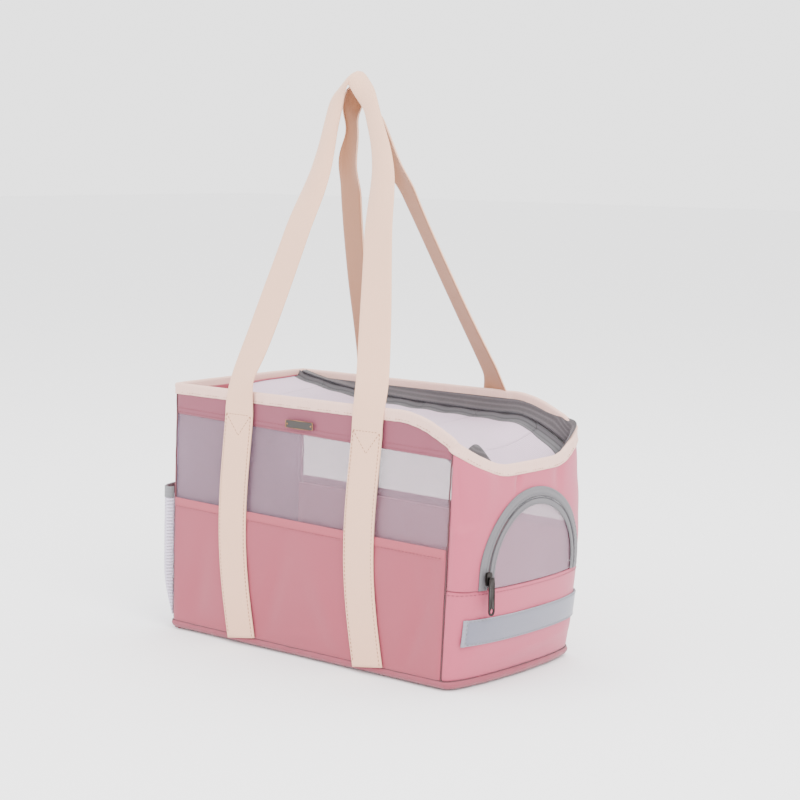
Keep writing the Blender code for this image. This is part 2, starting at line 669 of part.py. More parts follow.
def build_top_slider():
    """Slider on the front length of the top zip, with a pull that lies on the cover."""
    size = TOP_SLIDER_SIZE
    centre = (TOP_SLIDER_X, TOP_SLIDER_Y, TOP_SLIDER_Z)
    low = [centre[axis] - size[axis] / 2 for axis in range(3)]
    high = [centre[axis] + size[axis] / 2 for axis in range(3)]
    block("top_slider", low, high, "gunmetal", edge=0.0008)
    hang = add_axis("top_pull_axis", (TOP_SLIDER_X, TOP_PULL_Y, TOP_PULL_Z))
    plate_with_hole("top_pull", PULL_LENGTH, PULL_WIDTH, PULL_THICKNESS, PULL_HOLE_RADIUS,
                    "gunmetal", hang, (0.0, 0.0, math.pi))


def main():
    """Build the bag."""
    clear_scene()
    new_collection(COLLECTION)
    new_collection("cutters")
    build_walls()
    build_ends()
    build_base()
    build_trim()
    build_side_pocket()
    build_straps()
    for wall in ("front", "back"):
        build_handle(wall)
    build_door()
    build_top_tapes()
    build_cover()
    build_top_slider()


main()
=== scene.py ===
"""Looks of a soft pet carrier bag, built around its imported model.

Lengths are in metres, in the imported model's frame: +X towards the door end, -Y towards the front
and +Z up. Walls, tapes and straps all lie on one shared body surface, each at its own distance in
front of it, so that layers stay in order however the body sags.
"""
import logging
import math
from dataclasses import dataclass, field
from enum import Enum
from typing import Callable, Dict, List, Optional, Sequence, Tuple, Union

import bmesh
import bpy
import numpy as np
from mathutils import Matrix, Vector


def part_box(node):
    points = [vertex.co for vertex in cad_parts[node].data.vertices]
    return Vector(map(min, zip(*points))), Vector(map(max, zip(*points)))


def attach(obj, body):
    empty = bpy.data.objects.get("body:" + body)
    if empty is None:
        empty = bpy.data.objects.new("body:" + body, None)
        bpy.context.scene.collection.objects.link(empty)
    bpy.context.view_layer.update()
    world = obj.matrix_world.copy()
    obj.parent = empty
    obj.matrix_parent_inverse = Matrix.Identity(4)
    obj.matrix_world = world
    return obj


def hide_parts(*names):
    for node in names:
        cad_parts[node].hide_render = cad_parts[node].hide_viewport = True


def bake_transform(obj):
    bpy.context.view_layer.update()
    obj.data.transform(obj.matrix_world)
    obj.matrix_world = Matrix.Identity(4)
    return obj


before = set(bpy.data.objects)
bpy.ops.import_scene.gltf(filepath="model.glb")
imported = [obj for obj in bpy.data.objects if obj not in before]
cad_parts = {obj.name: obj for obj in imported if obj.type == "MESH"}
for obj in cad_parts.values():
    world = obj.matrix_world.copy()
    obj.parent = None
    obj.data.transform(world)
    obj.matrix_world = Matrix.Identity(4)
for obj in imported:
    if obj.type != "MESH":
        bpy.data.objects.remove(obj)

LOG = logging.getLogger("carrier_bag")
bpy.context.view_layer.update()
Colour = Tuple[float, float, float]
Grid = np.ndarray
Line = Tuple[np.ndarray, np.ndarray]
Point = Tuple[float, float, float]
TAU = 2.0 * math.pi
DOOR_FOOT = 0.0965


class Wall(Enum):
    """The four sides of the bag, with the side's sign along its own axis."""

    FRONT = -1.0
    BACK = 1.0
    LEFT = -2.0
    RIGHT = 2.0

    @property
    def is_end(self) -> bool:
        """Whether the wall is one of the two curved ends."""
        return abs(self.value) > 1.5

    @property
    def side(self) -> float:
        """Minus one or one: the way the wall faces along its own axis."""
        return math.copysign(1.0, self.value)

    @property
    def label(self) -> str:
        """Its word in the pieces' names."""
        return self.name.lower()


Height = Callable[[Wall, np.ndarray], np.ndarray]
Term = Union["Value", float]
Feed = Union[Colour, bpy.types.NodeSocket]


# ------------------------------------------------------------------ shader maths

def operator(operation: str, reflected: bool = False) -> Callable[..., "Value"]:
    """A method of Value that adds one Math node, with its two terms swapped where reflected."""
    def method(value: "Value", *others: Term) -> "Value":
        """Add the node over the value and the other term, if the operation has one."""
        terms = (*others, value) if reflected else (value, *others)
        node = value.graph.add("ShaderNodeMath", {"operation": operation}, dict(enumerate(terms)))
        return Value(value.graph, node.outputs[0])
    return method


class Value:
    """A number in a material. Python operators on it add Math nodes."""

    __add__ = __radd__ = operator("ADD")
    __sub__ = operator("SUBTRACT")
    __rsub__ = operator("SUBTRACT", reflected=True)
    __mul__ = __rmul__ = operator("MULTIPLY")
    __truediv__ = operator("DIVIDE")
    __lt__ = operator("LESS_THAN")
    sine = operator("SINE")
    size = operator("ABSOLUTE")
    power = operator("POWER")
    smaller = operator("MINIMUM")
    larger = operator("MAXIMUM")

    def __init__(self, graph: "Graph", socket: bpy.types.NodeSocket) -> None:
        """Wrap a socket of a graph."""
        self.graph = graph
        self.socket = socket

    def held(self) -> "Value":
        """This value held between zero and one."""
        return self.larger(0.0).smaller(1.0)


class Graph:
    """The node tree of one material."""

    def __init__(self, name: str) -> None:
        """Start a material with only a Principled shader and its output."""
        self.material = bpy.data.materials.new("look_" + name)
        self.material.use_nodes = True
        self.tree = self.material.node_tree
        self.tree.nodes.clear()
        self.shader = self.add("ShaderNodeBsdfPrincipled")
        self.add("ShaderNodeOutputMaterial", inputs={"Surface": self.shader.outputs[0]})

    def add(self, kind: str, settings: Optional[dict] = None,
            inputs: Optional[dict] = None) -> bpy.types.Node:
        """Add any node.

        Args:
            kind: the node's type.
            settings: its properties, set first.
            inputs: numbers, colours, sockets or Values for its sockets.

        Returns:
            The node.
        """
        node = self.tree.nodes.new(kind)
        for name, setting in (settings or {}).items():
            setattr(node, name, setting)
        self.feed(node, inputs or {})
        return node

    def feed(self, node: bpy.types.Node, inputs: dict) -> None:
        """Set or link a node's sockets."""
        for key, given in inputs.items():
            given = given.socket if isinstance(given, Value) else given
            if isinstance(given, bpy.types.NodeSocket):
                self.tree.links.new(given, node.inputs[key])
            else:
                node.inputs[key].default_value = given

    def uv(self) -> Tuple[Value, Value]:
        """The piece's own lengthwise and crosswise places, in metres."""
        split = self.add("ShaderNodeSeparateXYZ",
                         inputs={0: self.add("ShaderNodeUVMap", {"uv_map": "cloth"}).outputs[0]})
        return Value(self, split.outputs[0]), Value(self, split.outputs[1])

    def place(self) -> bpy.types.NodeSocket:
        """Object coordinates."""
        return self.add("ShaderNodeTexCoord").outputs["Object"]

    def noise(self, scale: float, detail: float = 2.0,
              vector: Optional[bpy.types.NodeSocket] = None) -> Value:
        """Smooth noise about one half, over object coordinates unless a vector is given."""
        node = self.add("ShaderNodeTexNoise", inputs={
            "Vector": vector or self.place(), "Scale": scale, "Detail": detail})
        return Value(self, node.outputs["Fac"])

    def blend(self, factor: Value, first: Feed,
              second: Feed) -> bpy.types.NodeSocket:
        """A colour between two, by a factor."""
        node = self.add("ShaderNodeMix", {"data_type": "RGBA"},
                        {0: factor, 6: self.full(first), 7: self.full(second)})
        return node.outputs[2]

    @staticmethod
    def full(colour: Feed) -> object:
        """A colour with its alpha, or the socket itself."""
        return colour if isinstance(colour, bpy.types.NodeSocket) else (*colour, 1.0)

    def finish(self, colour: Feed, roughness: Term,
               height: Optional[Value] = None, relief: float = 0.0002, strength: float = 1.0,
               alpha: Optional[Value] = None, metallic: float = 0.0,
               fixed: Optional[Dict[str, float]] = None) -> bpy.types.Material:
        """Feed the Principled shader.

        Args:
            colour: a plain colour or a colour socket.
            roughness: a number or a Value.
            height: relief between zero and one, for the Bump node.
            relief: the height of the relief in metres.
            strength: how strongly the relief turns the surface.
            alpha: opacity, where the cloth is open.
            metallic: the shader's metallic value.
            fixed: other sockets that are the same all over.

        Returns:
            The material.
        """
        feeds: dict = {"Base Color": self.full(colour), "Roughness": roughness, "Metallic": metallic}
        if alpha is not None:
            feeds["Alpha"] = alpha
        if height is not None:
            feeds["Normal"] = self.add("ShaderNodeBump", inputs={
                "Height": height, "Distance": relief, "Strength": strength}).outputs[0]
        feeds.update(fixed or {})
        self.feed(self.shader, feeds)
        return self.material

    def mottled(self, tone: Value, colour: Colour, dark: float, light: float) -> bpy.types.NodeSocket:
        """A colour that runs from its darker to its lighter shade with the tone."""
        return self.blend(tone, shade(colour, dark), shade(colour, light))


def shade(colour: Colour, factor: float) -> Colour:
    """A colour made darker or lighter."""
    return tuple(min(1.0, channel * factor) for channel in colour)


# ------------------------------------------------------------------ finishes

@dataclass(frozen=True)
class OxfordCloth:
    """Plain-woven cloth with a faint sheen, slightly uneven colour and a fine basket weave."""

    name: str
    colour: Colour
    pitch: float = 0.0011
    mottle: float = 0.05
    roughness: float = 0.62

    def material(self) -> bpy.types.Material:
        """Weave: the product of two sines across and along, plus slubs and broad clouding."""
        graph = Graph(self.name)
        across, along = graph.uv()
        weave = (across * (TAU / self.pitch)).sine() * (along * (TAU / self.pitch)).sine()
        slub = graph.noise(900.0, 1.0)
        cloud = graph.noise(14.0, 3.0)
        height = (weave * 0.35 + slub * 0.5 + 0.3).held()
        tone = (cloud * 0.6 + slub * 0.25 + weave * 0.08 + 0.1).held()
        colour = graph.mottled(tone, self.colour, 1.0 - self.mottle, 1.0 + self.mottle)
        return graph.finish(colour, self.roughness + (cloud - 0.5) * 0.12, height, 0.00016, 0.55,
                            fixed={"Sheen Weight": 0.18, "Sheen Roughness": 0.5,
                                   "Specular IOR Level": 0.35})


@dataclass(frozen=True)
class MeshCloth:
    """Fine see-through net: two slanted thread directions with holes between, in a sheer haze.

    A border, where there is one, is closed tape: its width is measured along the cloth's
    crosswise place, which then runs from zero at the edge.
    """

    name: str
    colour: Colour
    cell: float = 0.0013
    thread: float = 0.42
    between: float = 0.32
    on_thread: float = 0.80
    border: float = 0.0
    border_colour: Colour = (0.3, 0.3, 0.32)

    def material(self) -> bpy.types.Material:
        """Opacity is high on a thread, where either slanted sine is near zero, and low between."""
        graph = Graph(self.name)
        across, along = graph.uv()
        cloud = graph.noise(16.0, 2.0)
        first = ((across + along) * (math.pi / self.cell) + cloud * 5.0).sine().size()
        second = ((across - along) * (math.pi / self.cell) - cloud * 5.0).sine().size()
        thread = 1.0 - ((first.smaller(second) - self.thread) * 5.0).held()
        alpha = thread * (self.on_thread - self.between) + self.between + (cloud - 0.5) * 0.10
        colour = graph.mottled(cloud, self.colour, 0.95, 1.04)
        height = thread
        if self.border > 0.0:
            taped = along < self.border
            rib = (across * (TAU / 0.0012)).sine() * 0.5 + 0.5
            line = ((along * (TAU / 0.0042)).sine() * 0.5 + 0.5).power(3.0)
            # Painted shadow: a dark line along the tape's inner edge, where it meets the net
            edge_shadow = (1.0 - (along - self.border).size() / 0.0014).held()
            tape = graph.mottled(rib * 0.3 + line * 0.7, self.border_colour, 1.15, 0.55)
            tape = graph.blend(edge_shadow, tape, shade(self.border_colour, 0.22))
            colour = graph.blend(taped, colour, tape)
            alpha = alpha.larger(taped)
            height = height.larger(taped * rib)
        return graph.finish(colour, 0.6, height, 0.00015, 0.5, alpha=alpha.held(),
                            fixed={"Sheen Weight": 0.1})


@dataclass(frozen=True)
class WebbingCloth:
    """Thick woven webbing: ribs along its length crossed by fine picks, with firm edges."""

    name: str
    colour: Colour
    rib: float = 0.0022
    pick: float = 0.0014
    inner_width: float = 0.0370
    # Shares of the colour on the inner face: painted shade, darker and warmer
    inner: Colour = (0.46, 0.34, 0.25)

    def material(self) -> bpy.types.Material:
        """Ribs are the size of a sine across; picks are a sine along; the inner face is painted darker and
        tan, as shade.
        """
        graph = Graph(self.name)
        across, along = graph.uv()
        rib = (across * (math.pi / self.rib)).sine()
        pick = (along * (TAU / self.pick) + rib * 1.6).sine() * 0.5 + 0.5
        cloud = graph.noise(22.0, 3.0)
        fleck = graph.noise(700.0, 1.0)
        height = (rib.size() * 0.55 + pick * 0.35 + fleck * 0.15).held()
        tone = (cloud * 0.5 + height * 0.45 + fleck * 0.1).held()
        colour = graph.mottled(tone, self.colour, 0.90, 1.04)
        # Painted shade: the inner face takes the colour times the inner shares
        painted_inner_shade = tuple(channel * share for channel, share in zip(self.colour, self.inner))
        colour = graph.blend(across < self.inner_width, colour, painted_inner_shade)
        return graph.finish(colour, 0.82, height, 0.00028, 0.7,
                            fixed={"Sheen Weight": 0.25, "Specular IOR Level": 0.25})


@dataclass(frozen=True)
class TapeCloth:
    """Flat woven tape with fine ribs across and a firm line along each edge."""

    name: str
    colour: Colour
    rib: float = 0.0010
    contrast: float = 0.10
    stripe: float = 0.0034

    def material(self) -> bpy.types.Material:
        """Ribs are a sine along the tape; slow lines across give woven stripes."""
        graph = Graph(self.name)
        across, along = graph.uv()
        rib = (across * (TAU / self.rib)).sine() * 0.5 + 0.5
        line = ((along * (TAU / self.stripe)).sine() * 0.5 + 0.5).power(2.0)
        fleck = graph.noise(600.0, 1.0)
        tone = (rib * 0.35 + line * 0.35 + fleck * 0.3).held()
        colour = graph.mottled(tone, self.colour, 1.0 - self.contrast, 1.0 + self.contrast)
        return graph.finish(colour, 0.74, (rib * 0.6 + line * 0.4), 0.00018, 0.6,
                            fixed={"Sheen Weight": 0.15})


@dataclass(frozen=True)
class PileCloth:
    """Soft looped pile of a hook-and-loop strip."""

    name: str
    colour: Colour

    def material(self) -> bpy.types.Material:
        """Tufts are two sizes of noise, which also mottle the colour."""
        graph = Graph(self.name)
        tuft = graph.noise(1500.0, 2.0) * 0.6 + graph.noise(420.0, 2.0) * 0.4
        colour = graph.mottled(tuft, self.colour, 0.86, 1.12)
        return graph.finish(colour, 0.9, tuft, 0.0005, 0.8, fixed={"Sheen Weight": 0.45})


@dataclass(frozen=True)
class DarkMetal:
    """Plated zip hardware with rubbed patches."""

    name: str
    colour: Colour
    roughness: float = 0.3

    def material(self) -> bpy.types.Material:
        """Rubbing is broad noise times fine noise, lighter and smoother than the plating."""
        graph = Graph(self.name)
        rub = (graph.noise(260.0, 3.0) * graph.noise(1400.0, 2.0) * 2.4 - 0.3).held()
        colour = graph.mottled(rub, self.colour, 1.0, 2.2)
        return graph.finish(colour, self.roughness + (0.5 - rub) * 0.2, rub, 0.00004, 0.3,
                            metallic=1.0)


@dataclass(frozen=True)
class SmoothSkin:
    """Moulded or pressed surface with a fine grain."""

    name: str
    colour: Colour
    roughness: float = 0.5
    grain: float = 900.0
    metallic: float = 0.0

    def material(self) -> bpy.types.Material:
        """Grain is noise in relief and, faintly, in colour."""
        graph = Graph(self.name)
        grain = graph.noise(self.grain, 3.0)
        colour = graph.mottled(grain, self.colour, 0.88, 1.12)
        return graph.finish(colour, self.roughness + (grain - 0.5) * 0.15, grain, 0.00008, 0.5,
                            metallic=self.metallic)


PINK = (0.278, 0.0460, 0.0730)
PINK_HEM = (0.315, 0.052, 0.078)
PINK_TOP = (0.190, 0.041, 0.068)
PINK_END = (0.40, 0.066, 0.116)
# The walls' pink painted darker for the base wrap: painted shade under the bottom edge
PINK_BASE_SHADED = (0.24, 0.045, 0.070)
PINK_SEAM = (0.075, 0.020, 0.026)
CREAM = (0.735, 0.440, 0.300)
CREAM_BINDING = (0.70, 0.44, 0.365)
# The left end's lining is light grey; this darker grey-lilac is painted shade inside the end
LILAC_GREY_SHADED = (0.24, 0.185, 0.285)
NET_WHITE = (0.64, 0.48, 0.60)
NET_LILAC = (0.34, 0.215, 0.275)
TAPE_GREY = (0.115, 0.108, 0.117)
TAPE_DARK = (0.060, 0.050, 0.055)
STRIP_GREY = (0.145, 0.146, 0.190)
GUNMETAL = (0.022, 0.019, 0.018)
LABEL_DARK = (0.018, 0.013, 0.010)
LABEL_EDGE = (0.26, 0.13, 0.05)

FINISHES = {finish.name: finish for finish in (
    OxfordCloth("pocket_pink", PINK), OxfordCloth("hem_pink", PINK_HEM, mottle=0.04),
    OxfordCloth("top_pink", PINK_TOP), OxfordCloth("end_pink", PINK_END, mottle=0.04),
    OxfordCloth("base_pink_shaded", PINK_BASE_SHADED, mottle=0.08), OxfordCloth("seam_pink", PINK_SEAM),
    OxfordCloth("lining_lilac_shaded", LILAC_GREY_SHADED), OxfordCloth("pad_pink", (0.36, 0.15, 0.18)),
    OxfordCloth("lining_pink", (0.74, 0.27, 0.33)),
    MeshCloth("window_net", NET_LILAC, between=0.16, on_thread=0.42),
    MeshCloth("door_net", NET_LILAC, between=0.28, on_thread=0.62),
    MeshCloth("cover_net", NET_WHITE, between=0.66, on_thread=0.95, border=0.0135,
              border_colour=shade(TAPE_GREY, 0.75)),
    MeshCloth("pocket_net", (0.62, 0.56, 0.70), cell=0.0034, thread=0.50, between=0.30,
              on_thread=0.9),
    WebbingCloth("cream_webbing", CREAM), TapeCloth("cream_binding", CREAM_BINDING, 0.0012, 0.05),
    TapeCloth("zip_tape", TAPE_GREY), TapeCloth("zip_tape_dark", TAPE_DARK, contrast=0.75, stripe=0.0048),
    TapeCloth("elastic_grey", (0.15, 0.15, 0.16), 0.0016, 0.16),
    PileCloth("strip_pile", STRIP_GREY), TapeCloth("strip_edge", (0.205, 0.205, 0.245)),
    SmoothSkin("zip_coil", (0.075, 0.072, 0.080), 0.45), SmoothSkin("label_face", LABEL_DARK, 0.42),
    SmoothSkin("label_rim", LABEL_EDGE, 0.35, metallic=0.6),
    SmoothSkin("board_grey", (0.10, 0.10, 0.11), 0.6),
    SmoothSkin("thread_pink", (0.20, 0.045, 0.065), 0.7),
    SmoothSkin("thread_grey", (0.13, 0.13, 0.14)),
    SmoothSkin("thread_cream", (0.30, 0.125, 0.070), 0.7), DarkMetal("gunmetal", GUNMETAL),
)}


def material(name: str) -> bpy.types.Material:
    """The named finish's material, made once."""
    return bpy.data.materials.get("look_" + name) or FINISHES[name].material()


# ------------------------------------------------------------------ mesh tools

def unit(vectors: np.ndarray) -> np.ndarray:
    """Vectors of length one."""
    return vectors / np.maximum(np.linalg.norm(vectors, axis=-1, keepdims=True), 1e-12)


def smoothstep(share: np.ndarray) -> np.ndarray:
    """A ramp from zero to one that starts and ends level: three squares less two cubes."""
    share = np.clip(share, 0.0, 1.0)
    return share * share * (3.0 - 2.0 * share)


def lengths(points: np.ndarray) -> np.ndarray:
    """Distance run along a line of points, from its start."""
    return np.concatenate([[0.0], np.cumsum(np.linalg.norm(np.diff(points, axis=0), axis=1))])


def follow(places: np.ndarray, run: np.ndarray, source: np.ndarray) -> np.ndarray:
    """A line's points or vectors at distances along it, where run is its own distance run."""
    return np.stack([np.interp(places, run, source[:, axis]) for axis in range(3)], axis=1)


def pairs(first: np.ndarray, second: np.ndarray) -> Grid:
    """Two places for each point of a grid."""
    return np.stack(np.broadcast_arrays(first, second), axis=-1)


def looped(line: np.ndarray) -> np.ndarray:
    """A line with its first point again at the end."""
    return np.concatenate([line, line[:1]])


def round_section(radius: float, count: int = 8) -> np.ndarray:
    """The outline of a round cord."""
    turn = np.linspace(0.0, TAU, count, endpoint=False)
    return radius * np.stack([np.cos(turn), np.sin(turn)], axis=1)


def spaced(start: float, stop: float, step: float, edge: float = 0.0022) -> np.ndarray:
    """Places from start to stop about a step apart, crowded within an edge's width of both ends."""
    inner = np.linspace(start + edge, stop - edge, max(2, round((stop - start) / step)))
    near = edge * np.array([0.0, 0.2, 0.45, 0.72])
    return np.concatenate([start + near, inner, (stop - near)[::-1]])


def build_mesh(name: str, points: Grid, closed_rows: bool = False, closed_columns: bool = False,
               uv: Optional[Grid] = None) -> bpy.types.Mesh:
    """A quad mesh over a grid of points.

    Args:
        name: the mesh's name.
        points: rows by columns by three.
        closed_rows: whether the last row joins the first.
        closed_columns: whether the last column joins the first.
        uv: rows by columns by two, in metres, for the cloth map.

    Returns:
        The mesh, shaded smooth.
    """
    rows, columns = points.shape[:2]
    row = np.arange(rows if closed_rows else rows - 1)
    column = np.arange(columns if closed_columns else columns - 1)
    row, column = (part.ravel() for part in np.meshgrid(row, column, indexing="ij"))
    next_row, next_column = (row + 1) % rows, (column + 1) % columns
    faces = np.stack([row * columns + column, row * columns + next_column,
                      next_row * columns + next_column, next_row * columns + column], axis=1)
    mesh = bpy.data.meshes.new(name)
    mesh.vertices.add(rows * columns)
    mesh.vertices.foreach_set("co", points.reshape(-1).astype(np.float32))
    mesh.loops.add(faces.size)
    mesh.loops.foreach_set("vertex_index", faces.reshape(-1).astype(np.int32))
    mesh.polygons.add(len(faces))
    mesh.polygons.foreach_set("loop_start", np.arange(0, faces.size, 4, dtype=np.int32))
    mesh.update(calc_edges=True)
    if uv is not None:
        if closed_rows or closed_columns:
            uv = np.pad(uv, ((0, int(closed_rows)), (0, int(closed_columns)), (0, 0)), mode="edge")
            if closed_columns:
                uv[:, -1, 0] = 2 * uv[:, -2, 0] - uv[:, -3, 0]
            if closed_rows:
                uv[-1, :, 1] = 2 * uv[-2, :, 1] - uv[-3, :, 1]
        corner_row = np.stack([row, row, row + 1, row + 1], axis=1)
        corner_column = np.stack([column, column + 1, column + 1, column], axis=1)
        layer = mesh.uv_layers.new(name="cloth")
        layer.data.foreach_set("uv", uv[corner_row, corner_column].reshape(-1).astype(np.float32))
    mesh.shade_smooth()
    return mesh


def tidy(mesh: bpy.types.Mesh, merge: float = 1e-6, close: bool = False) -> None:
    """Merge doubles, fill open ends where asked, face every face outwards and shade it smooth."""
    work = bmesh.new()
    work.from_mesh(mesh)
    bmesh.ops.remove_doubles(work, verts=work.verts, dist=merge)
    if close:
        rims = [edge for edge in work.edges if edge.is_boundary]
        if rims:
            bmesh.ops.holes_fill(work, edges=rims, sides=0)
    bmesh.ops.recalc_face_normals(work, faces=work.faces)
    work.to_mesh(mesh)
    work.free()
    mesh.shade_smooth()


def vertex_places(mesh: bpy.types.Mesh) -> np.ndarray:
    """Where a mesh's vertices are."""
    places = np.empty(len(mesh.vertices) * 3, dtype=np.float32)
    mesh.vertices.foreach_get("co", places)
    return places.reshape(-1, 3)


def added(name: str, data: bpy.types.ID) -> bpy.types.Object:
    """A new object in the scene."""
    thing = bpy.data.objects.new(name, data)
    bpy.context.scene.collection.objects.link(thing)
    return thing


@dataclass
class Workshop:
    """Puts meshes into the scene with their finish and body."""

    count: int = 0

    def place(self, name: str, mesh: bpy.types.Mesh, finish: str, body: Optional[str] = "bag",
              slot: str = "pink_fabric", replaces: Sequence[str] = ()) -> bpy.types.Object:
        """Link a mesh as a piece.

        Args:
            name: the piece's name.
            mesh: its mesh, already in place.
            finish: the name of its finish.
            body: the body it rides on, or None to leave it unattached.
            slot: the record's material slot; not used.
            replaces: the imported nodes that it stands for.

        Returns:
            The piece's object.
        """
        piece = added(name, mesh)
        mesh.materials.append(material(finish))
        if body is not None:
            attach(piece, body)
        if replaces:
            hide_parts(*replaces)
        self.count += 1
        LOG.info("%s: %d faces", name, len(mesh.polygons))
        return piece

    def sheet(self, name: str, points: Grid, uv: Grid, thickness: float, finish: str,
              **where: object) -> bpy.types.Object:
        """A grid of cloth given an even thickness to both sides."""
        mesh = build_mesh(name, points, uv=uv)
        piece = self.place(name, mesh, finish, **where)
        thicken = piece.modifiers.new("thickness", "SOLIDIFY")
        thicken.thickness = thickness
        thicken.offset = 0.0
        return piece

    def sweep(self, name: str, path: np.ndarray, across: np.ndarray, facing: np.ndarray,
              profile: np.ndarray, finish: str, closed: bool = False,
              **where: object) -> bpy.types.Object:
        """A closed profile carried along a path.

        A point is the path's point, plus the profile's first place times the across vector, plus
        its second place times the facing vector. Open ends are filled.
        """
        points = (path[:, None] + profile[None, :, :1] * across[:, None]
                  + profile[None, :, 1:] * facing[:, None])
        around = lengths(looped(profile))[:-1]
        uv = pairs(around[None, :], lengths(path)[:, None])
        mesh = build_mesh(name, points, closed_rows=closed, closed_columns=True, uv=uv)
        tidy(mesh, close=not closed)
        return self.place(name, mesh, finish, **where)

    def coil(self, name: str, path: np.ndarray, facing: np.ndarray, radius: float, pitch: float,
             wire: float, finish: str, **where: object) -> bpy.types.Object:
        """A zip coil: a helix round the path, flattened towards the tape.

        The angle grows by one turn every pitch along the path; the wire's centre is the radius
        times its cosine across and four fifths of its sine along the facing vector.
        """
        run = lengths(path)
        turns = run[-1] / pitch
        steps = np.linspace(0.0, run[-1], max(2, int(turns * 9)))
        centre, normal = follow(steps, run, path), unit(follow(steps, run, facing))
        side = unit(np.cross(unit(np.gradient(centre, axis=0)), normal))
        angle = (steps / pitch * TAU)[:, None]
        line = centre + radius * (np.cos(angle) * side + 0.8 * np.sin(angle) * normal)
        radial = unit(np.cos(angle) * side + np.sin(angle) * normal)
        tangent = unit(np.gradient(line, axis=0))
        other = unit(np.cross(tangent, radial))
        return self.sweep(name, line, radial, other, round_section(wire, 5), finish, **where)

    def stitches(self, name: str, lines: Sequence[Line], finish: str,
                 length: float = 0.0030, gap: float = 0.0014, width: float = 0.00045,
                 **where: object) -> bpy.types.Object:
        """Rows of thread stitches along lines, each given with its facing vectors.

        A stitch is a small lens: its width and height follow a half sine along its length.
        """
        along = np.linspace(-0.5, 0.5, 5)
        swell = 0.35 + 0.65 * np.cos(along * math.pi)
        ring = np.linspace(0.0, TAU, 4, endpoint=False) + math.pi / 4
        blocks: List[np.ndarray] = []
        for path, facing in lines:
            run = lengths(path)
            places = np.arange(length / 2, run[-1] - length / 2, length + gap)
            if not len(places):
                continue
            centre, normal = follow(places, run, path), unit(follow(places, run, facing))
            tangent = unit(follow(places + 0.0005, run, path) - centre)
            side = np.cross(normal, tangent)
            blocks.append(centre[:, None, None]
                          + length * along[None, :, None, None] * tangent[:, None, None]
                          + (width * swell[:, None] * np.cos(ring))[None, ..., None] * side[:, None, None]
                          + (width * swell[:, None] * np.sin(ring))[None, ..., None] * normal[:, None, None])
        stack = np.concatenate(blocks)
        count, rows, columns = stack.shape[:3]
        index = np.arange(rows * columns).reshape(rows, columns)
        sides = np.stack([index[:-1], np.roll(index, -1, 1)[:-1], np.roll(index, -1, 1)[1:],
                          index[1:]], axis=-1).reshape(-1, 4)
        faces = np.concatenate([sides, index[:1, ::-1], index[-1:]])
        all_faces = (faces[None] + (np.arange(count) * rows * columns)[:, None, None]).reshape(-1, 4)
        mesh = bpy.data.meshes.new(name)
        mesh.from_pydata(stack.reshape(-1, 3).tolist(), [], all_faces.tolist())
        tidy(mesh)
        return self.place(name, mesh, finish, **where)


SHOP = Workshop()


def middle_and_half(node: str) -> Line:
    """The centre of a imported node's box and half its size."""
    low, high = (np.asarray(corner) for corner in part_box(node))
    return (low + high) / 2.0, (high - low) / 2.0


def lozenge(width: float, thickness: float, edge: float = 0.0008, steps: int = 9) -> np.ndarray:
    """A flat strap's section: two straight faces joined by half-round edges."""
    half, deep = width / 2.0 - edge, thickness / 2.0
    arc = np.linspace(-math.pi / 2, math.pi / 2, 5)
    flat = np.linspace(-half, half, steps)
    top = np.stack([flat, np.full(steps, -deep)], axis=1)
    right = np.stack([half + edge * np.cos(arc), deep * np.sin(arc)], axis=1)
    return np.concatenate([top, right[1:-1], np.stack([flat[::-1], np.full(steps, deep)], axis=1),
                           (right * [-1.0, 1.0])[::-1][1:-1]])


def signed_power(value: np.ndarray, power: float) -> np.ndarray:
    """A power of a value's size, with the value's own sign."""
    return np.sign(value) * np.abs(value) ** power


def super_block(centre: Sequence[float], half: Sequence[float], power: float = 0.35,
                rows: int = 20, columns: int = 32) -> Grid:
    """A rounded block: each place is the signed power of a sphere's, times the half size.

    With a power near zero it is a box, and with one it is an ellipsoid.
    """
    lift = np.linspace(-math.pi / 2, math.pi / 2, rows)[:, None]
    turn = np.linspace(0.0, TAU, columns, endpoint=False)[None, :]
    across, upward = (signed_power(value, power) for value in (np.cos(lift), np.sin(lift)))
    sphere = np.stack(np.broadcast_arrays(across * signed_power(np.cos(turn), power),
                                          across * signed_power(np.sin(turn), power), upward), axis=-1)
    return sphere * np.asarray(half) + np.asarray(centre)


# ------------------------------------------------------------------ the body surface

@dataclass(frozen=True)
class Crease:
    """One soft fold in the cloth: a ridge of Gaussian section that fades along its length."""

    across: float
    z: float
    angle: float
    length: float
    width: float
    height: float

    def at(self, across: np.ndarray, z: np.ndarray) -> np.ndarray:
        """Its height at places given in metres across and up the wall."""
        cosine, sine = math.cos(math.radians(self.angle)), math.sin(math.radians(self.angle))
        along = (across - self.across) * cosine + (z - self.z) * sine
        beside = (z - self.z) * cosine - (across - self.across) * sine
        return self.height * np.exp(-(along / self.length) ** 2 - (beside / self.width) ** 2)


def creases(*rows: Tuple[float, ...]) -> Tuple[Crease, ...]:
    """Folds, each from its six numbers."""
    return tuple(Crease(*row) for row in rows)


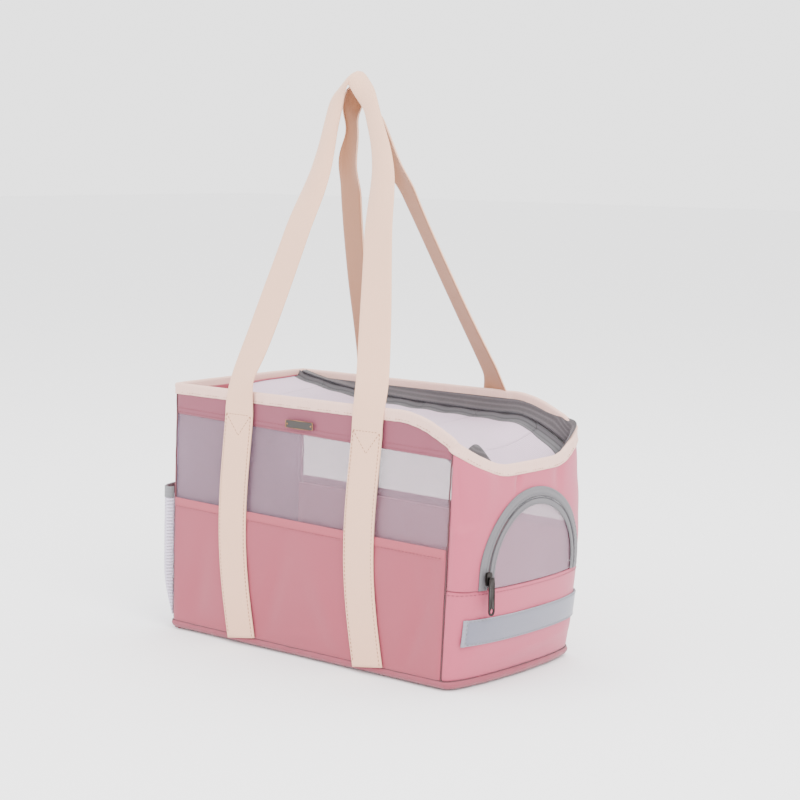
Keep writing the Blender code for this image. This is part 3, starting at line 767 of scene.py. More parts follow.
@dataclass
class BodySurface:
    """The shape that every wall piece lies on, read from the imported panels."""

    half_width: float = field(default_factory=lambda: -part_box("front_lower_panel")[0][1])
    seam_left: float = field(default_factory=lambda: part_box("left_end_panel")[1][0])
    seam_right: float = field(default_factory=lambda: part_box("end_lower_panel")[0][0])
    rim_z: float = field(default_factory=lambda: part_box("front_binding")[1][2])
    swell_left: Point = (0.010, 0.130, 0.200)
    swell_right: Point = (0.034, 0.108, 0.150)
    swell_power: float = 0.7
    dip_start_front: float = 0.115
    dip_start_back: float = 0.107
    dip_run: float = 0.130
    dip_depth: float = 0.050
    hem_left: float = 0.140
    hem_right: float = 0.134
    window_left: float = 0.2285
    window_right: float = 0.2195
    belly: float = 0.0022
    lean_right: float = 0.045
    lean_left: float = 0.028
    level_z: float = DOOR_FOOT

    def leaned(self, points: np.ndarray) -> np.ndarray:
        """Points near either end drawn out or in with height, so that the corners lean.

        The right shift is zero at the door's foot and grows upwards; the left shift is zero near
        the rim and grows downwards. Both ease in beyond the straps.
        """
        x, z = points[..., 0], points[..., 2]
        right = self.lean_right * np.clip(z - self.level_z, -0.1, 0.165) * smoothstep((x - 0.10) / 0.07)
        left = self.lean_left * np.clip(0.225 - z, 0.0, 0.225) * smoothstep((-x - 0.115) / 0.06)
        return points + (right - left)[..., None] * np.array([1.0, 0.0, 0.0])

    def swell(self, wall: Wall, z: np.ndarray) -> np.ndarray:
        """How far an end stands out from its seams at height z: a shallow parabola."""
        depth, middle, reach = self.swell_right if wall is Wall.RIGHT else self.swell_left
        return depth * (1.0 - ((z - middle) / reach) ** 2)

    def point(self, wall: Wall, across: np.ndarray, z: np.ndarray, out: np.ndarray) -> np.ndarray:
        """Points at a distance in front of a wall.

        Across is x on the front and back, and on an end an angle whose sine gives y; the end stands
        out by the swell times its cosine to a power below one. The front and back belly out by
        half a sine across times half a sine up.
        """
        across, z, out = np.broadcast_arrays(across, z, out)
        if not wall.is_end:
            share = np.clip((across - self.seam_left) / (self.seam_right - self.seam_left), 0.0, 1.0)
            height = np.clip(z / self.rim_z, 0.0, 1.0)
            ease = self.belly * np.sin(math.pi * share) ** 0.6 * np.sin(math.pi * height ** 0.8)
            return self.leaned(np.stack([across, wall.side * (self.half_width + out + ease), z], -1))
        depth = self.swell(wall, z)
        cosine = np.clip(np.cos(across), 0.0, 1.0)
        normal_x = 2.0 / self.swell_power / depth * cosine ** (2.0 - self.swell_power)
        normal_y = 2.0 * np.sin(across) / self.half_width
        size = np.hypot(normal_x, normal_y)
        x = depth * cosine ** self.swell_power + out * normal_x / size
        y = self.half_width * np.sin(across) + out * normal_y / size
        seam = self.seam_right if wall is Wall.RIGHT else self.seam_left
        points = np.stack([seam + wall.side * x, y, z], axis=-1)
        return self.leaned(points)

    def facing(self, wall: Wall, across: np.ndarray, z: np.ndarray) -> np.ndarray:
        """The direction that the wall faces at each place."""
        return unit(self.point(wall, across, z, 0.001) - self.point(wall, across, z, 0.0))

    def end_x(self, y: np.ndarray, z: np.ndarray, out: np.ndarray) -> np.ndarray:
        """Points on the right end given by y and z."""
        return self.point(Wall.RIGHT, self.turn_at(y), z, out)

    def run_across(self, wall: Wall, across: np.ndarray) -> np.ndarray:
        """Metres across a wall from its middle, which creases and cloth places use."""
        if not wall.is_end:
            return across
        fine = np.linspace(-math.pi / 2, math.pi / 2, 181)
        middle = self.point(wall, fine, np.full(fine.shape, 0.12), 0.0)
        run = lengths(middle)
        return np.interp(across, fine, run - run[90])

    def rim(self, wall: Wall, across: np.ndarray) -> np.ndarray:
        """Height of the mouth's edge: level, then a smooth dip down to the right end."""
        across = np.asarray(across, dtype=float)
        if wall is Wall.LEFT:
            return np.full(across.shape, self.rim_z)
        front = across < 0.0 if wall is Wall.RIGHT else np.full(across.shape, wall is Wall.FRONT)
        start = np.where(front, self.dip_start_front, self.dip_start_back)
        run = across - start
        if wall is Wall.RIGHT:
            fine = np.linspace(-math.pi / 2, 0.0, 91)
            line = lengths(self.point(wall, fine, np.full(fine.shape, self.rim_z - self.dip_depth), 0.0))
            run = self.seam_right - start + np.interp(-np.abs(across), fine, line)
        return self.rim_z - self.dip_depth * smoothstep(run / self.dip_run)

    def slope(self, left: float, right: float) -> Height:
        """A height that runs straight from the left seam to the right seam."""
        def height(wall: Wall, across: np.ndarray) -> np.ndarray:
            """The height at places across."""
            share = (across - self.seam_left) / (self.seam_right - self.seam_left)
            return left + share * (right - left)
        return height

    @property
    def hem(self) -> Height:
        """Height of the flat pockets' hems."""
        return self.slope(self.hem_left, self.hem_right)

    @property
    def window_top(self) -> Height:
        """Height of the top band's lower edge."""
        return self.slope(self.window_left, self.window_right)

    def around(self, height: Height, out: float, steps: int) -> Line:
        """A closed line round the body at a height on each wall, with its facing vectors."""
        front = np.linspace(self.seam_left, self.seam_right, 2 * steps)
        end = np.linspace(-math.pi / 2, math.pi / 2, steps)
        points, faces = [], []
        for wall, across in ((Wall.FRONT, front), (Wall.RIGHT, end), (Wall.BACK, front[::-1]),
                             (Wall.LEFT, end[::-1])):
            z = height(wall, across)
            points.append(self.point(wall, across, z, out)[:-1])
            faces.append(self.facing(wall, across, z)[:-1])
        return np.concatenate(points), np.concatenate(faces)

    def turn_at(self, y: np.ndarray) -> np.ndarray:
        """The angle on an end that belongs to y."""
        return np.arcsin(np.clip(y / self.half_width, -1.0, 1.0))


BODY = BodySurface()


def level(z: float) -> Height:
    """The same height all along."""
    return lambda wall, across: np.full(np.shape(across), z)


def raised(height: Height, lift: float) -> Height:
    """A height moved up, or down where the lift is negative."""
    return lambda wall, across: height(wall, across) + lift


def below_rim(distance: float) -> Height:
    """A height at a distance below the mouth's edge."""
    return raised(BODY.rim, -distance)


def soft_waves(across: np.ndarray, z: np.ndarray, seed: int, size: float) -> np.ndarray:
    """Broad uneven cloth: six slanted sines of falling height, with seeded slants and phases."""
    rng = np.random.default_rng(seed)
    total = np.zeros(np.broadcast(across, z).shape)
    for number in range(6):
        angle, phase = rng.uniform(0.0, math.pi), rng.uniform(0.0, TAU)
        wave = rng.uniform(0.035, 0.110)
        total += np.sin((across * math.cos(angle) + z * math.sin(angle)) * TAU / wave + phase) \
            / (1.0 + 0.4 * number)
    return size * total / 3.0


@dataclass
class Panel:
    """A piece of cloth on one wall, with rolled edges, soft waves and its own creases."""

    wall: Wall
    first: float
    last: float
    bottom: Height
    top: Height
    out: float
    step: float = 0.003
    roll: float = 0.0010
    waves: float = 0.0004
    seed: int = 1
    creases: Sequence[Crease] = ()

    def grid(self) -> Tuple[Grid, Grid]:
        """The points and their cloth places.

        Each edge rolls in by a Gaussian of the distance to it; waves and creases die out towards
        the edges by the product of how far each side is.

        Returns:
            The points and the cloth map, each rows by columns.
        """
        low_end = min(np.min(self.bottom(self.wall, np.array([self.first, self.last]))), 1.0)
        high_end = np.max(self.top(self.wall, np.linspace(self.first, self.last, 9)))
        if self.wall.is_end:
            width = BODY.run_across(self.wall, np.array([self.first, self.last]))
            places = spaced(width[0], width[1], self.step)
            fine = np.linspace(-math.pi / 2, math.pi / 2, 721)
            across = np.interp(places, BODY.run_across(self.wall, fine), fine)
        else:
            across = places = spaced(self.first, self.last, self.step)
        share = spaced(0.0, 1.0, self.step / (high_end - low_end), 0.0022 / (high_end - low_end))
        low, high = self.bottom(self.wall, across), self.top(self.wall, across)
        z = low + share[:, None] * (high - low)
        run = np.broadcast_to(places, z.shape)
        gaps = [run - run[:, :1], run[:, -1:] - run, z - low, high - z]
        rolled = sum(np.exp(-(gap / 0.0014) ** 2) for gap in gaps)
        calm = np.prod([1.0 - np.exp(-(gap / 0.012) ** 2) for gap in gaps], axis=0)
        out = self.out - self.roll * np.clip(rolled, 0.0, 1.3)
        out = out + calm * soft_waves(run, z, self.seed, self.waves)
        out = out + calm ** 0.5 * sum(crease.at(run, z) for crease in self.creases)
        points = BODY.point(self.wall, across, z, out)
        return points, np.stack([run - run.min(), z], axis=-1)

    def make(self, name: str, thickness: float, finish: str, **where: object) -> bpy.types.Object:
        """Build the panel as a sheet."""
        points, uv = self.grid()
        return SHOP.sheet(name, points, uv, thickness, finish, **where)


def wall_line(wall: Wall, across: np.ndarray, z: Union[np.ndarray, float], out: float) -> Line:
    """A line on a wall with its facing vectors, for stitches and cords."""
    across, z = (part.copy() for part in np.broadcast_arrays(across, z))
    return BODY.point(wall, across, z, out), BODY.facing(wall, across, z)


# ------------------------------------------------------------------ walls, pockets and windows

@dataclass
class BodyWalls:
    """The front and back walls, the ends, their linings and the base."""

    seam_edge: float = 0.0008
    end_edge: float = 0.012
    hem_height: float = 0.0092
    base_seam_z: float = 0.0090
    under_binding: float = 0.008
    lining_out: float = -0.0050
    net_out: float = -0.0020
    pocket_out: float = 0.0010
    row_apart: float = 0.0043

    def front_and_back(self) -> None:
        """Top band, window, lower wall, flat pocket and its hem on both long walls."""
        first, last = BODY.seam_left + self.seam_edge, BODY.seam_right - self.seam_edge
        for wall in (Wall.FRONT, Wall.BACK):
            label = wall.label
            Panel(wall, first, last, BODY.window_top, below_rim(self.under_binding), -0.0004, seed=3,
                  waves=0.0003, creases=creases((0.150, 0.232, 60, 0.02, 0.006, -0.0012))
                  ).make(f"{label}_top_band_cloth", 0.0014, "top_pink", replaces=(f"{label}_top_band",))
            net = Panel(wall, first, last, raised(BODY.hem, -0.006),
                        raised(BODY.window_top, 0.004), self.net_out, step=0.006,
                        roll=0.0, waves=0.0008, seed=8
                        ).make(f"{label}_window_net", 0.0003, "window_net", slot="mesh",
                               replaces=(f"{label}_window",))
            Panel(wall, first, last, level(0.010), raised(BODY.hem, -0.007), self.lining_out,
                  step=0.006, waves=0.0
                  ).make(f"{label}_lower_lining", 0.0012, "lining_pink",
                         replaces=(f"{label}_lower_panel",))
            folds = creases(
                (-0.045, 0.060, 72, 0.050, 0.012, -0.0022), (0.030, 0.045, 115, 0.045, 0.013, 0.0020),
                (-0.148, 0.055, 80, 0.045, 0.012, -0.0018), (0.138, 0.045, 70, 0.045, 0.010, -0.0024),
                (-0.010, 0.022, 10, 0.050, 0.006, 0.0009), (0.150, 0.100, 110, 0.030, 0.008, 0.0009))
            Panel(wall, first, last, level(self.base_seam_z), BODY.hem, self.pocket_out,
                  step=0.0025, seed=11, waves=0.0011, creases=folds
                  ).make(f"{label}_pocket_cloth", 0.0012, "pocket_pink", replaces=(f"{label}_pocket",))
            Panel(wall, first + 0.0004, last - 0.0004, raised(BODY.hem, -self.hem_height),
                  raised(BODY.hem, 0.0006), 0.0018, roll=0.0007, waves=0.0
                  ).make(f"{label}_pocket_hem", 0.0010, "hem_pink")
            across = np.linspace(first + 0.002, last - 0.002, 200)
            top_row = BODY.window_top(wall, across) + 0.0022
            rows = [wall_line(wall, across, BODY.hem(wall, across) - self.hem_height + 0.0012, 0.0023),
                    wall_line(wall, across, top_row, 0.0003),
                    wall_line(wall, across, top_row + self.row_apart, 0.0004)]
            SHOP.stitches(f"{label}_wall_stitches", rows, "thread_pink")

    def ends(self) -> None:
        """The end walls outside and in, with the doorway left open on the right."""
        quarter = math.pi / 2
        last = quarter - self.end_edge
        Panel(Wall.LEFT, -last, last, level(self.base_seam_z), below_rim(self.under_binding),
              -0.0006, seed=21, waves=0.0006
              ).make("left_end_cloth", 0.0010, "end_pink", replaces=("left_end_panel",))
        # The lining's darker grey-lilac is painted shade over its own light grey
        Panel(Wall.LEFT, -last, last, level(0.006), below_rim(0.009), self.net_out,
              step=0.005, seed=22, waves=0.0006
              ).make("left_end_lining", 0.0008, "lining_lilac_shaded", slot="lining")
        lower_folds = creases((-0.085, 0.045, 60, 0.030, 0.008, -0.0018),
                              (0.020, 0.028, 5, 0.060, 0.007, 0.0016))
        Panel(Wall.RIGHT, -quarter + 0.004, quarter - 0.004, level(self.base_seam_z), level(0.0955),
              -0.0006, seed=23, waves=0.0006, creases=lower_folds
              ).make("end_lower_cloth", 0.0012, "end_pink", slot="light_pink_fabric",
                     replaces=("end_lower_panel",))
        across = np.linspace(-quarter + 0.03, quarter - 0.03, 160)
        row = wall_line(Wall.RIGHT, across, 0.0925, 0.0002)
        SHOP.stitches("end_seam_stitches", [row], "thread_pink", slot="light_pink_fabric")
        self.end_upper()

    def end_upper(self) -> None:
        """The upper end wall as a fan of lines from the doorway's edge out to the panel's edge.

        Each line runs straight, in the wall's own places, from a point on the arch to a point on
        the outline; both go round from the front foot, over the top, to the back foot.
        """
        arch, count = ArchedDoor(), 220
        inner = arch.line(arch.hole_radius, DOOR_FOOT, count)
        half = BODY.half_width * 0.99995
        angle = np.pi * (1.0 - np.linspace(0.0, 1.0, count))
        direction = np.stack([np.cos(angle), np.sin(angle)], axis=1)
        to_side = half / np.maximum(np.abs(direction[:, 0]), 1e-6)
        side_y = np.clip(direction[:, 0] * np.minimum(to_side, 10.0), -half, half)
        edge = below_rim(self.under_binding)
        rim = edge(Wall.RIGHT, BODY.turn_at(side_y))
        to_rim = (rim - DOOR_FOOT) / np.maximum(direction[:, 1], 1e-6)
        side_z = DOOR_FOOT + to_side * direction[:, 1]
        on_side = side_z < rim
        outer_y = np.where(on_side, np.sign(direction[:, 0]) * half, direction[:, 0] * to_rim)
        outer_turn = BODY.turn_at(outer_y)
        outer_z = np.where(on_side, side_z, edge(Wall.RIGHT, outer_turn))
        outer_z[0] = outer_z[-1] = DOOR_FOOT
        inner_turn = BODY.turn_at(inner[:, 0])
        steps = spaced(0.0, 1.0, 1.0 / 26.0, 0.05)[:, None]
        places = inner_turn + steps * (outer_turn - inner_turn)
        z = inner[:, 1] + steps * (outer_z - inner[:, 1])
        run = BODY.run_across(Wall.RIGHT, places)
        folds = creases(
            (-0.020, 0.196, 62, 0.014, 0.0035, -0.0026), (-0.105, 0.150, 8, 0.030, 0.006, 0.0022),
            (0.045, 0.195, 70, 0.018, 0.008, -0.0022), (-0.066, 0.200, 75, 0.034, 0.012, 0.0028),
            (-0.100, 0.185, 100, 0.040, 0.009, -0.0026), (-0.088, 0.120, 84, 0.030, 0.007, 0.0018))
        calm = smoothstep(np.minimum(steps, 1.0 - steps) / 0.24)
        out = -0.0006 + calm * (soft_waves(run, z, 31, 0.0010) + sum(fold.at(run, z) for fold in folds))
        out = out - 0.0010 * np.exp(-((1.0 - steps) / 0.03) ** 2)
        points = BODY.point(Wall.RIGHT, places, z, out)
        SHOP.sheet("end_upper_cloth", points, np.stack([run + 0.2, z], axis=-1), 0.0012, "end_pink",
                   slot="light_pink_fabric", replaces=("end_upper_panel",))

    def base(self) -> None:
        """The floor cloth, which wraps up round the bottom edge to the base seam.

        Its section runs from the seam down round the edge and then in across the floor; round the
        body it puckers by a few small sines.
        """
        ring, facing = BODY.around(level(0.012), 0.0, 90)
        run = lengths(looped(ring))[:-1]
        pucker = (np.sin(run * TAU / 0.046) * 0.35 + np.sin(run * TAU / 0.0197 + 1.0) * 0.3
                  + np.sin(run * TAU / 0.118 + 2.0) * 0.5)
        section = [(0.0094, 0.0000, 0.2), (0.0086, 0.0009, 0.6), (0.0070, 0.0015, 1.0),
                   (0.0050, 0.0012, 1.0), (0.0030, -0.0002, 0.8), (0.0015, -0.0026, 0.4),
                   (0.0007, -0.0060, 0.1), (0.0005, -0.0110, 0.0)]
        rows = [ring + facing * (out + 0.00060 * share * pucker)[:, None] + [0.0, 0.0, z - 0.012]
                for z, out, share in section]
        middle = np.array([(BODY.seam_left + BODY.seam_right) / 2.0, 0.0, 0.0005])
        rows += [middle + (rows[-1] - middle) * share for share in (0.85, 0.6, 0.3, 0.0)]
        points = np.stack(rows)
        uv = pairs(run[None, :], points[..., 1] + points[..., 2])
        mesh = build_mesh("base_wrap", points, closed_columns=True, uv=uv)
        tidy(mesh)
        # The base wrap's darker pink is painted shade along the bottom edge
        wrap = SHOP.place("base_wrap", mesh, "base_pink_shaded", replaces=("floor_panel",))
        thicken = wrap.modifiers.new("thickness", "SOLIDIFY")
        thicken.thickness = 0.0009
        thicken.offset = -1.0
        line, out = BODY.around(level(0.0093), 0.0004, 90)
        line[:, 2] += 0.0005 * pucker
        across = np.broadcast_to([0.0, 0.0, 1.0], line.shape)
        SHOP.sweep("base_seam_cord", line, across, out, round_section(0.0006), "seam_pink",
                   closed=True, replaces=("base_piping",))

    def corner_seams(self) -> None:
        """Thin cords in the four upright corner seams, each with a small waver."""
        for wall in (Wall.FRONT, Wall.BACK):
            for end, seam in (("left", BODY.seam_left), ("right", BODY.seam_right)):
                top = float(BODY.rim(wall, np.array([seam]))[0]) - 0.007
                z = np.linspace(0.009, top, 70)
                waver = 0.0004 * np.sin(z * 90.0) + 0.0003 * np.sin(z * 231.0)
                line = BODY.point(wall, seam + waver, z, -0.0004)
                facing = np.broadcast_to([0.0, wall.side, 0.0], line.shape)
                across = np.broadcast_to([1.0, 0.0, 0.0], line.shape)
                SHOP.sweep(f"corner_cord_{wall.label}_{end}", line, across, facing,
                           round_section(0.0008), "seam_pink",
                           replaces=(f"seam_piping_{wall.label}_{end}",))

    def build(self) -> None:
        """Make all the walls."""
        self.front_and_back()
        self.ends()
        self.base()
        self.corner_seams()


@dataclass
class SidePocket:
    """The bottle pocket on the left end: bellied coarse net under a gathered elastic band."""

    half_turn: float = math.radians(86.5)
    foot: float = 0.015
    top: float = 0.1400
    belly: float = 0.0165
    band: Tuple[float, float] = (0.1396, 0.1512)

    def grid(self, heights: np.ndarray, rise: np.ndarray, columns: int, pleat: float) -> Tuple[Grid, Grid]:
        """Belly times a small power of a cosine across, rising from the foot, with small pleats."""
        angle = np.linspace(-self.half_turn, self.half_turn, columns)
        share = np.clip(np.cos(angle / self.half_turn * math.pi / 2), 0.0, 1.0) ** 0.3
        z = np.broadcast_to(heights[:, None], (len(heights), columns))
        run = BODY.run_across(Wall.LEFT, angle)
        gathers = pleat * np.sin(run * TAU / 0.0075) * share
        out = 0.0011 + (self.belly * share * rise[:, None]) + gathers * rise[:, None] ** 2
        points = BODY.point(Wall.LEFT, angle, z, out)
        return points, pairs(run + 0.2, z)

    def build(self) -> None:
        """The net and its elastic."""
        heights = np.linspace(self.foot, self.top, 44)
        rise = np.sin(np.clip((heights - self.foot) / 0.05, 0.0, 1.0) * math.pi / 2)
        points, uv = self.grid(heights, rise, 120, 0.0002)
        net = SHOP.sheet("side_pocket_net", points, uv, 0.0006, "pocket_net", slot="mesh",
                         replaces=("side_pocket",))
        bands = np.linspace(*self.band, 9)
        points, uv = self.grid(bands, np.ones(9), 400, 0.00035)
        SHOP.sheet("side_pocket_band", points, uv, 0.0013, "elastic_grey", slot="strip_grey",
                   replaces=("side_pocket_elastic",))


# ------------------------------------------------------------------ rim and straps

@dataclass
class RimBinding:
    """Folded tape sewn over the mouth's raw edge, all the way round."""

    height: float = 0.0116
    thickness: float = 0.0050

    def build(self) -> None:
        """A rounded upright section carried round the mouth, with stitches along its foot."""
        depth = self.height / 2.0 - 0.0004
        line, facing = BODY.around(below_rim(depth), -0.0011, 90)
        upward = (BODY.around(below_rim(depth - 0.004), 0.0, 90)[0]
                  - BODY.around(below_rim(depth + 0.004), 0.0, 90)[0])
        run = lengths(looped(line))[:-1]
        closed = np.concatenate([line[-1:], line, line[:1]])
        tangent = unit(closed[2:] - closed[:-2])
        across = unit(upward - tangent * np.sum(upward * tangent, axis=1, keepdims=True))
        facing = unit(facing - across * np.sum(facing * across, axis=1, keepdims=True))
        ripple = 0.00025 * (np.sin(run * TAU / 0.031) + np.sin(run * TAU / 0.0127 + 0.7))
        line = line + facing * ripple[:, None]
        deep, half = self.thickness / 2.0, self.height / 2.0
        arc = np.linspace(0.0, math.pi, 9)
        over = np.stack([half - deep + deep * np.sin(arc), deep * np.cos(arc)], axis=1)
        foot = np.array([[-half + 0.0006, -deep * 0.92], [-half, -deep * 0.55], [-half, deep * 0.55],
                         [-half + 0.0006, deep * 0.92]])
        wall = np.array([[0.0, -deep * 0.86], [-half * 0.7, -deep * 0.80]])
        rise = np.array([[-half * 0.7, deep * 0.80], [0.0, deep * 0.86]])
        profile = np.concatenate([over, wall, foot, rise])
        SHOP.sweep("rim_binding_tape", line, across, facing, profile, "cream_binding", closed=True,
                   slot="binding", replaces=("front_binding", "back_binding", "left_binding",
                                             "right_binding"))
        sewn, out = BODY.around(below_rim(self.height - 0.0028), 0.0009, 90)
        SHOP.stitches("rim_stitches", [(looped(sewn), looped(out))], "thread_cream",
                      length=0.0026, gap=0.0012, width=0.0003, slot="binding")


@dataclass
class Webbing:
    """Front and back webbing: each is sewn up one side, loops over as a handle and down again."""

    width: float = 0.038
    thickness: float = 0.0019
    foot_z: float = 0.0078
    sewn_top: float = 0.2365
    hinge_z: float = 0.2623
    out: float = 0.0037
    top: Tuple[float, float] = (0.003, 0.577)
    feet: Tuple[float, float] = (-0.0915, 0.0785)
    turns: Dict[Tuple[Wall, int], List[Tuple[float, float]]] = field(default_factory=lambda: {
        (Wall.FRONT, 0): [(0.0, -3.0), (0.012, -16.0), (0.060, -6.0), (0.174, -10.0), (0.231, -11.0),
                          (0.288, -6.0), (0.330, -10.0)],
        (Wall.FRONT, 1): [(0.0, 0.0), (0.020, 7.0), (0.070, 7.0), (0.124, 0.0), (0.178, -5.0),
                          (0.288, -5.0), (0.330, -10.0)],
        (Wall.BACK, 0): [(0.0, 0.0), (0.030, -14.0), (0.111, -16.0), (0.235, -12.0), (0.302, -10.0)],
        (Wall.BACK, 1): [(0.0, -24.0), (0.025, -31.0), (0.060, -33.0), (0.200, -33.0), (0.260, -16.0),
                         (0.302, -10.0)]})
    cup_start: Dict[Wall, float] = field(default_factory=lambda: {Wall.FRONT: 0.165, Wall.BACK: 0.205})
    cup_end: Dict[Wall, float] = field(default_factory=lambda: {Wall.FRONT: 0.290, Wall.BACK: 0.275})
    lines: Dict[Wall, List[Tuple[float, float]]] = field(default_factory=lambda: {
        Wall.FRONT: [(-0.0925, 0.0), (-0.0905, 0.016), (-0.079, 0.062), (-0.0585, 0.174),
                     (-0.050, 0.240), (-0.0475, 0.284), (-0.0455, 0.308), (-0.031, 0.3285),
                     (-0.0125, 0.3125), (0.0055, 0.286), (0.030, 0.232), (0.0565, 0.124),
                     (0.075, 0.040), (0.0795, 0.014), (0.0800, 0.0)],
        Wall.BACK: [(-0.0925, 0.0), (-0.0905, 0.016), (-0.083, 0.111), (-0.066, 0.213),
                    (-0.048, 0.266), (-0.0435, 0.293), (-0.032, 0.3125), (-0.018, 0.297),
                    (-0.006, 0.266), (0.012, 0.200), (0.047, 0.094), (0.071, 0.028),
                    (0.0765, 0.012), (0.0775, 0.0)]})

    @staticmethod
    def bow(z: np.ndarray) -> np.ndarray:
        """Sideways drift of a sewn tail: it bows back towards the bag's left at half height."""
        return -0.0085 * np.sin(np.clip(z / 0.236, 0.0, 1.0) * math.pi) ** 1.2 + 0.004 * (
            1.0 - np.clip(z / 0.12, 0.0, 1.0)) ** 2

    @staticmethod
    def smooth(points: Sequence[Tuple[float, float]], steps: int) -> np.ndarray:
        """A Catmull-Rom curve through the points."""
        knots = np.asarray(points)
        padded = np.concatenate([[2 * knots[0] - knots[1]], knots, [2 * knots[-1] - knots[-2]]])
        share = (np.arange(steps) / steps)[:, None]
        runs = [b + 0.5 * share * (c - a + share * (2 * a - 5 * b + 4 * c - d
                                                    + share * (3 * (b - c) + d - a)))
                for a, b, c, d in zip(padded, padded[1:], padded[2:], padded[3:])]
        return np.concatenate(runs + [knots[-1:]])

    def tail(self, wall: Wall, foot: float, z: np.ndarray) -> np.ndarray:
        """The middle line of a sewn tail, at heights z."""
        return BODY.point(wall, foot + self.bow(z), z, self.out)

    def loop(self, wall: Wall) -> Tuple[np.ndarray, np.ndarray, np.ndarray, np.ndarray]:
        """The handle's middle line, its across and facing vectors, and how cupped it is.

        The across vector is turned from +X by an angle that changes up each leg; close to the top
        the webbing also tips over, so that it faces up where it hangs. The cup runs from zero for
        flat webbing to one where it is folded lengthwise for the grip.
        """
        pivot = np.array([0.0, wall.side * (BODY.half_width + 0.0046), self.hinge_z])
        up = unit(np.array([0.0, wall.side * self.top[0], self.top[1]]) - pivot)
        out = np.array([0.0, wall.side * up[2], -wall.side * up[1]])
        line = self.smooth(self.lines[wall], 14)
        middle = pivot + line[:, :1] * [1.0, 0.0, 0.0] + line[:, 1:] * up - out * 0.001
        tangent = unit(np.gradient(middle, axis=0))
        height, peak = line[:, 1], int(np.argmax(line[:, 1]))
        turn = np.zeros(len(line))
        for leg, part in ((0, slice(0, peak)), (1, slice(peak, None))):
            knots = np.asarray(self.turns[(wall, leg)])
            turn[part] = np.interp(height[part], knots[:, 0], knots[:, 1])
        turn = np.radians(np.convolve(np.pad(turn, 6, mode="edge"), np.full(13, 1 / 13), "valid"))
        flat = np.stack([-wall.side * np.sin(turn), wall.side * np.cos(turn), np.zeros(len(turn))], 1)
        loop_out = wall.side * np.cross(tangent, out)
        tip = 0.80 * smoothstep((height - height.max() + 0.034) / 0.032)
        facing = np.cos(tip)[:, None] * flat + np.sin(tip)[:, None] * loop_out
        cup = smoothstep((height - self.cup_start[wall]) / (self.cup_end[wall] - self.cup_start[wall]))
        return middle, tangent, facing, cup

    def path(self, wall: Wall) -> Tuple[np.ndarray, np.ndarray, np.ndarray, np.ndarray]:
        """Tail, handle and tail as one run, eased together where they meet at the rim."""
        z = np.concatenate([np.linspace(self.foot_z, 0.05, 18), np.linspace(0.055, 0.246, 46)])
        left, right = (self.tail(wall, foot, z) for foot in self.feet)
        middle, _, facing, cup = self.loop(wall)
        keep = slice(6, -6)
        points = np.concatenate([left, middle[keep], right[::-1]])
        flat = np.broadcast_to([0.0, wall.side, 0.0], left.shape)
        faces = np.concatenate([flat, facing[keep], flat])
        cups = np.concatenate([np.zeros(len(z)), cup[keep], np.zeros(len(z))])
        run = lengths(points)
        even = np.append(np.arange(0.0, run[-1] - 0.001, 0.0030), run[-1])
        cups = np.interp(even, run, cups)
        points, faces = follow(even, run, points), follow(even, run, faces)
        near_rim = 0.06 + 0.64 * np.exp(-((points[:, 2] - self.hinge_z) / 0.016) ** 2)[:, None]
        near_rim[points[:, 2] < 0.238] = 0.0
        for _ in range(16):
            for source in (points, faces):
                average = (source[:-2] + source[2:]) / 2.0
                source[1:-1] += near_rim[1:-1] * (average - source[1:-1])
        tangents = unit(np.gradient(points, axis=0))
        faces = unit(faces - tangents * np.sum(faces * tangents, axis=1, keepdims=True))
        return points, unit(np.cross(tangents, faces)), faces, cups

    def section(self, cup: np.ndarray) -> np.ndarray:
        """The webbing's section at each place: a flat lozenge rolled into a flattened C.

        A place across becomes an angle; the chord is its sine times a radius of half the width over
        the largest angle, and the depth is one less its cosine, flattened, times the same radius.
        """
        flat = lozenge(self.width, self.thickness)
        most = 0.03 + 1.85 * cup[:, None]
        radius = self.width / 2.0 / most
        angle = flat[None, :, 0] / radius
        squash = 1.0 - 0.72 * cup[:, None]
        lift = flat[None, :, 1]
        across = (radius + lift * 0.6) * np.sin(angle)
        deep = -squash * radius * (1.0 - np.cos(angle)) + lift * np.maximum(np.cos(angle), -0.9)
        return np.stack([across, deep], axis=-1)

    def build(self) -> None:
        """Both lengths of webbing with their sewing."""
        around = lengths(lozenge(self.width, self.thickness))
        for wall, body in ((Wall.FRONT, "handle_front"), (Wall.BACK, "handle_back")):
            label = wall.label
            path, across, facing, cup = self.path(wall)
            section = self.section(cup)
            points = (path[:, None] + section[..., :1] * across[:, None]
                      + section[..., 1:] * facing[:, None])
            uv = pairs(around[None, :], lengths(path)[:, None])
            mesh = build_mesh(f"webbing_{label}", points, closed_columns=True, uv=uv)
            tidy(mesh, close=True)
            strap = SHOP.place(f"webbing_{label}", mesh, "cream_webbing", body=None,
                               slot="cream_webbing",
                               replaces=(f"strap_{label}_left", f"strap_{label}_right",
                                         f"handle_{label}"))
            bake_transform(strap)
            self.sewing(wall, label)

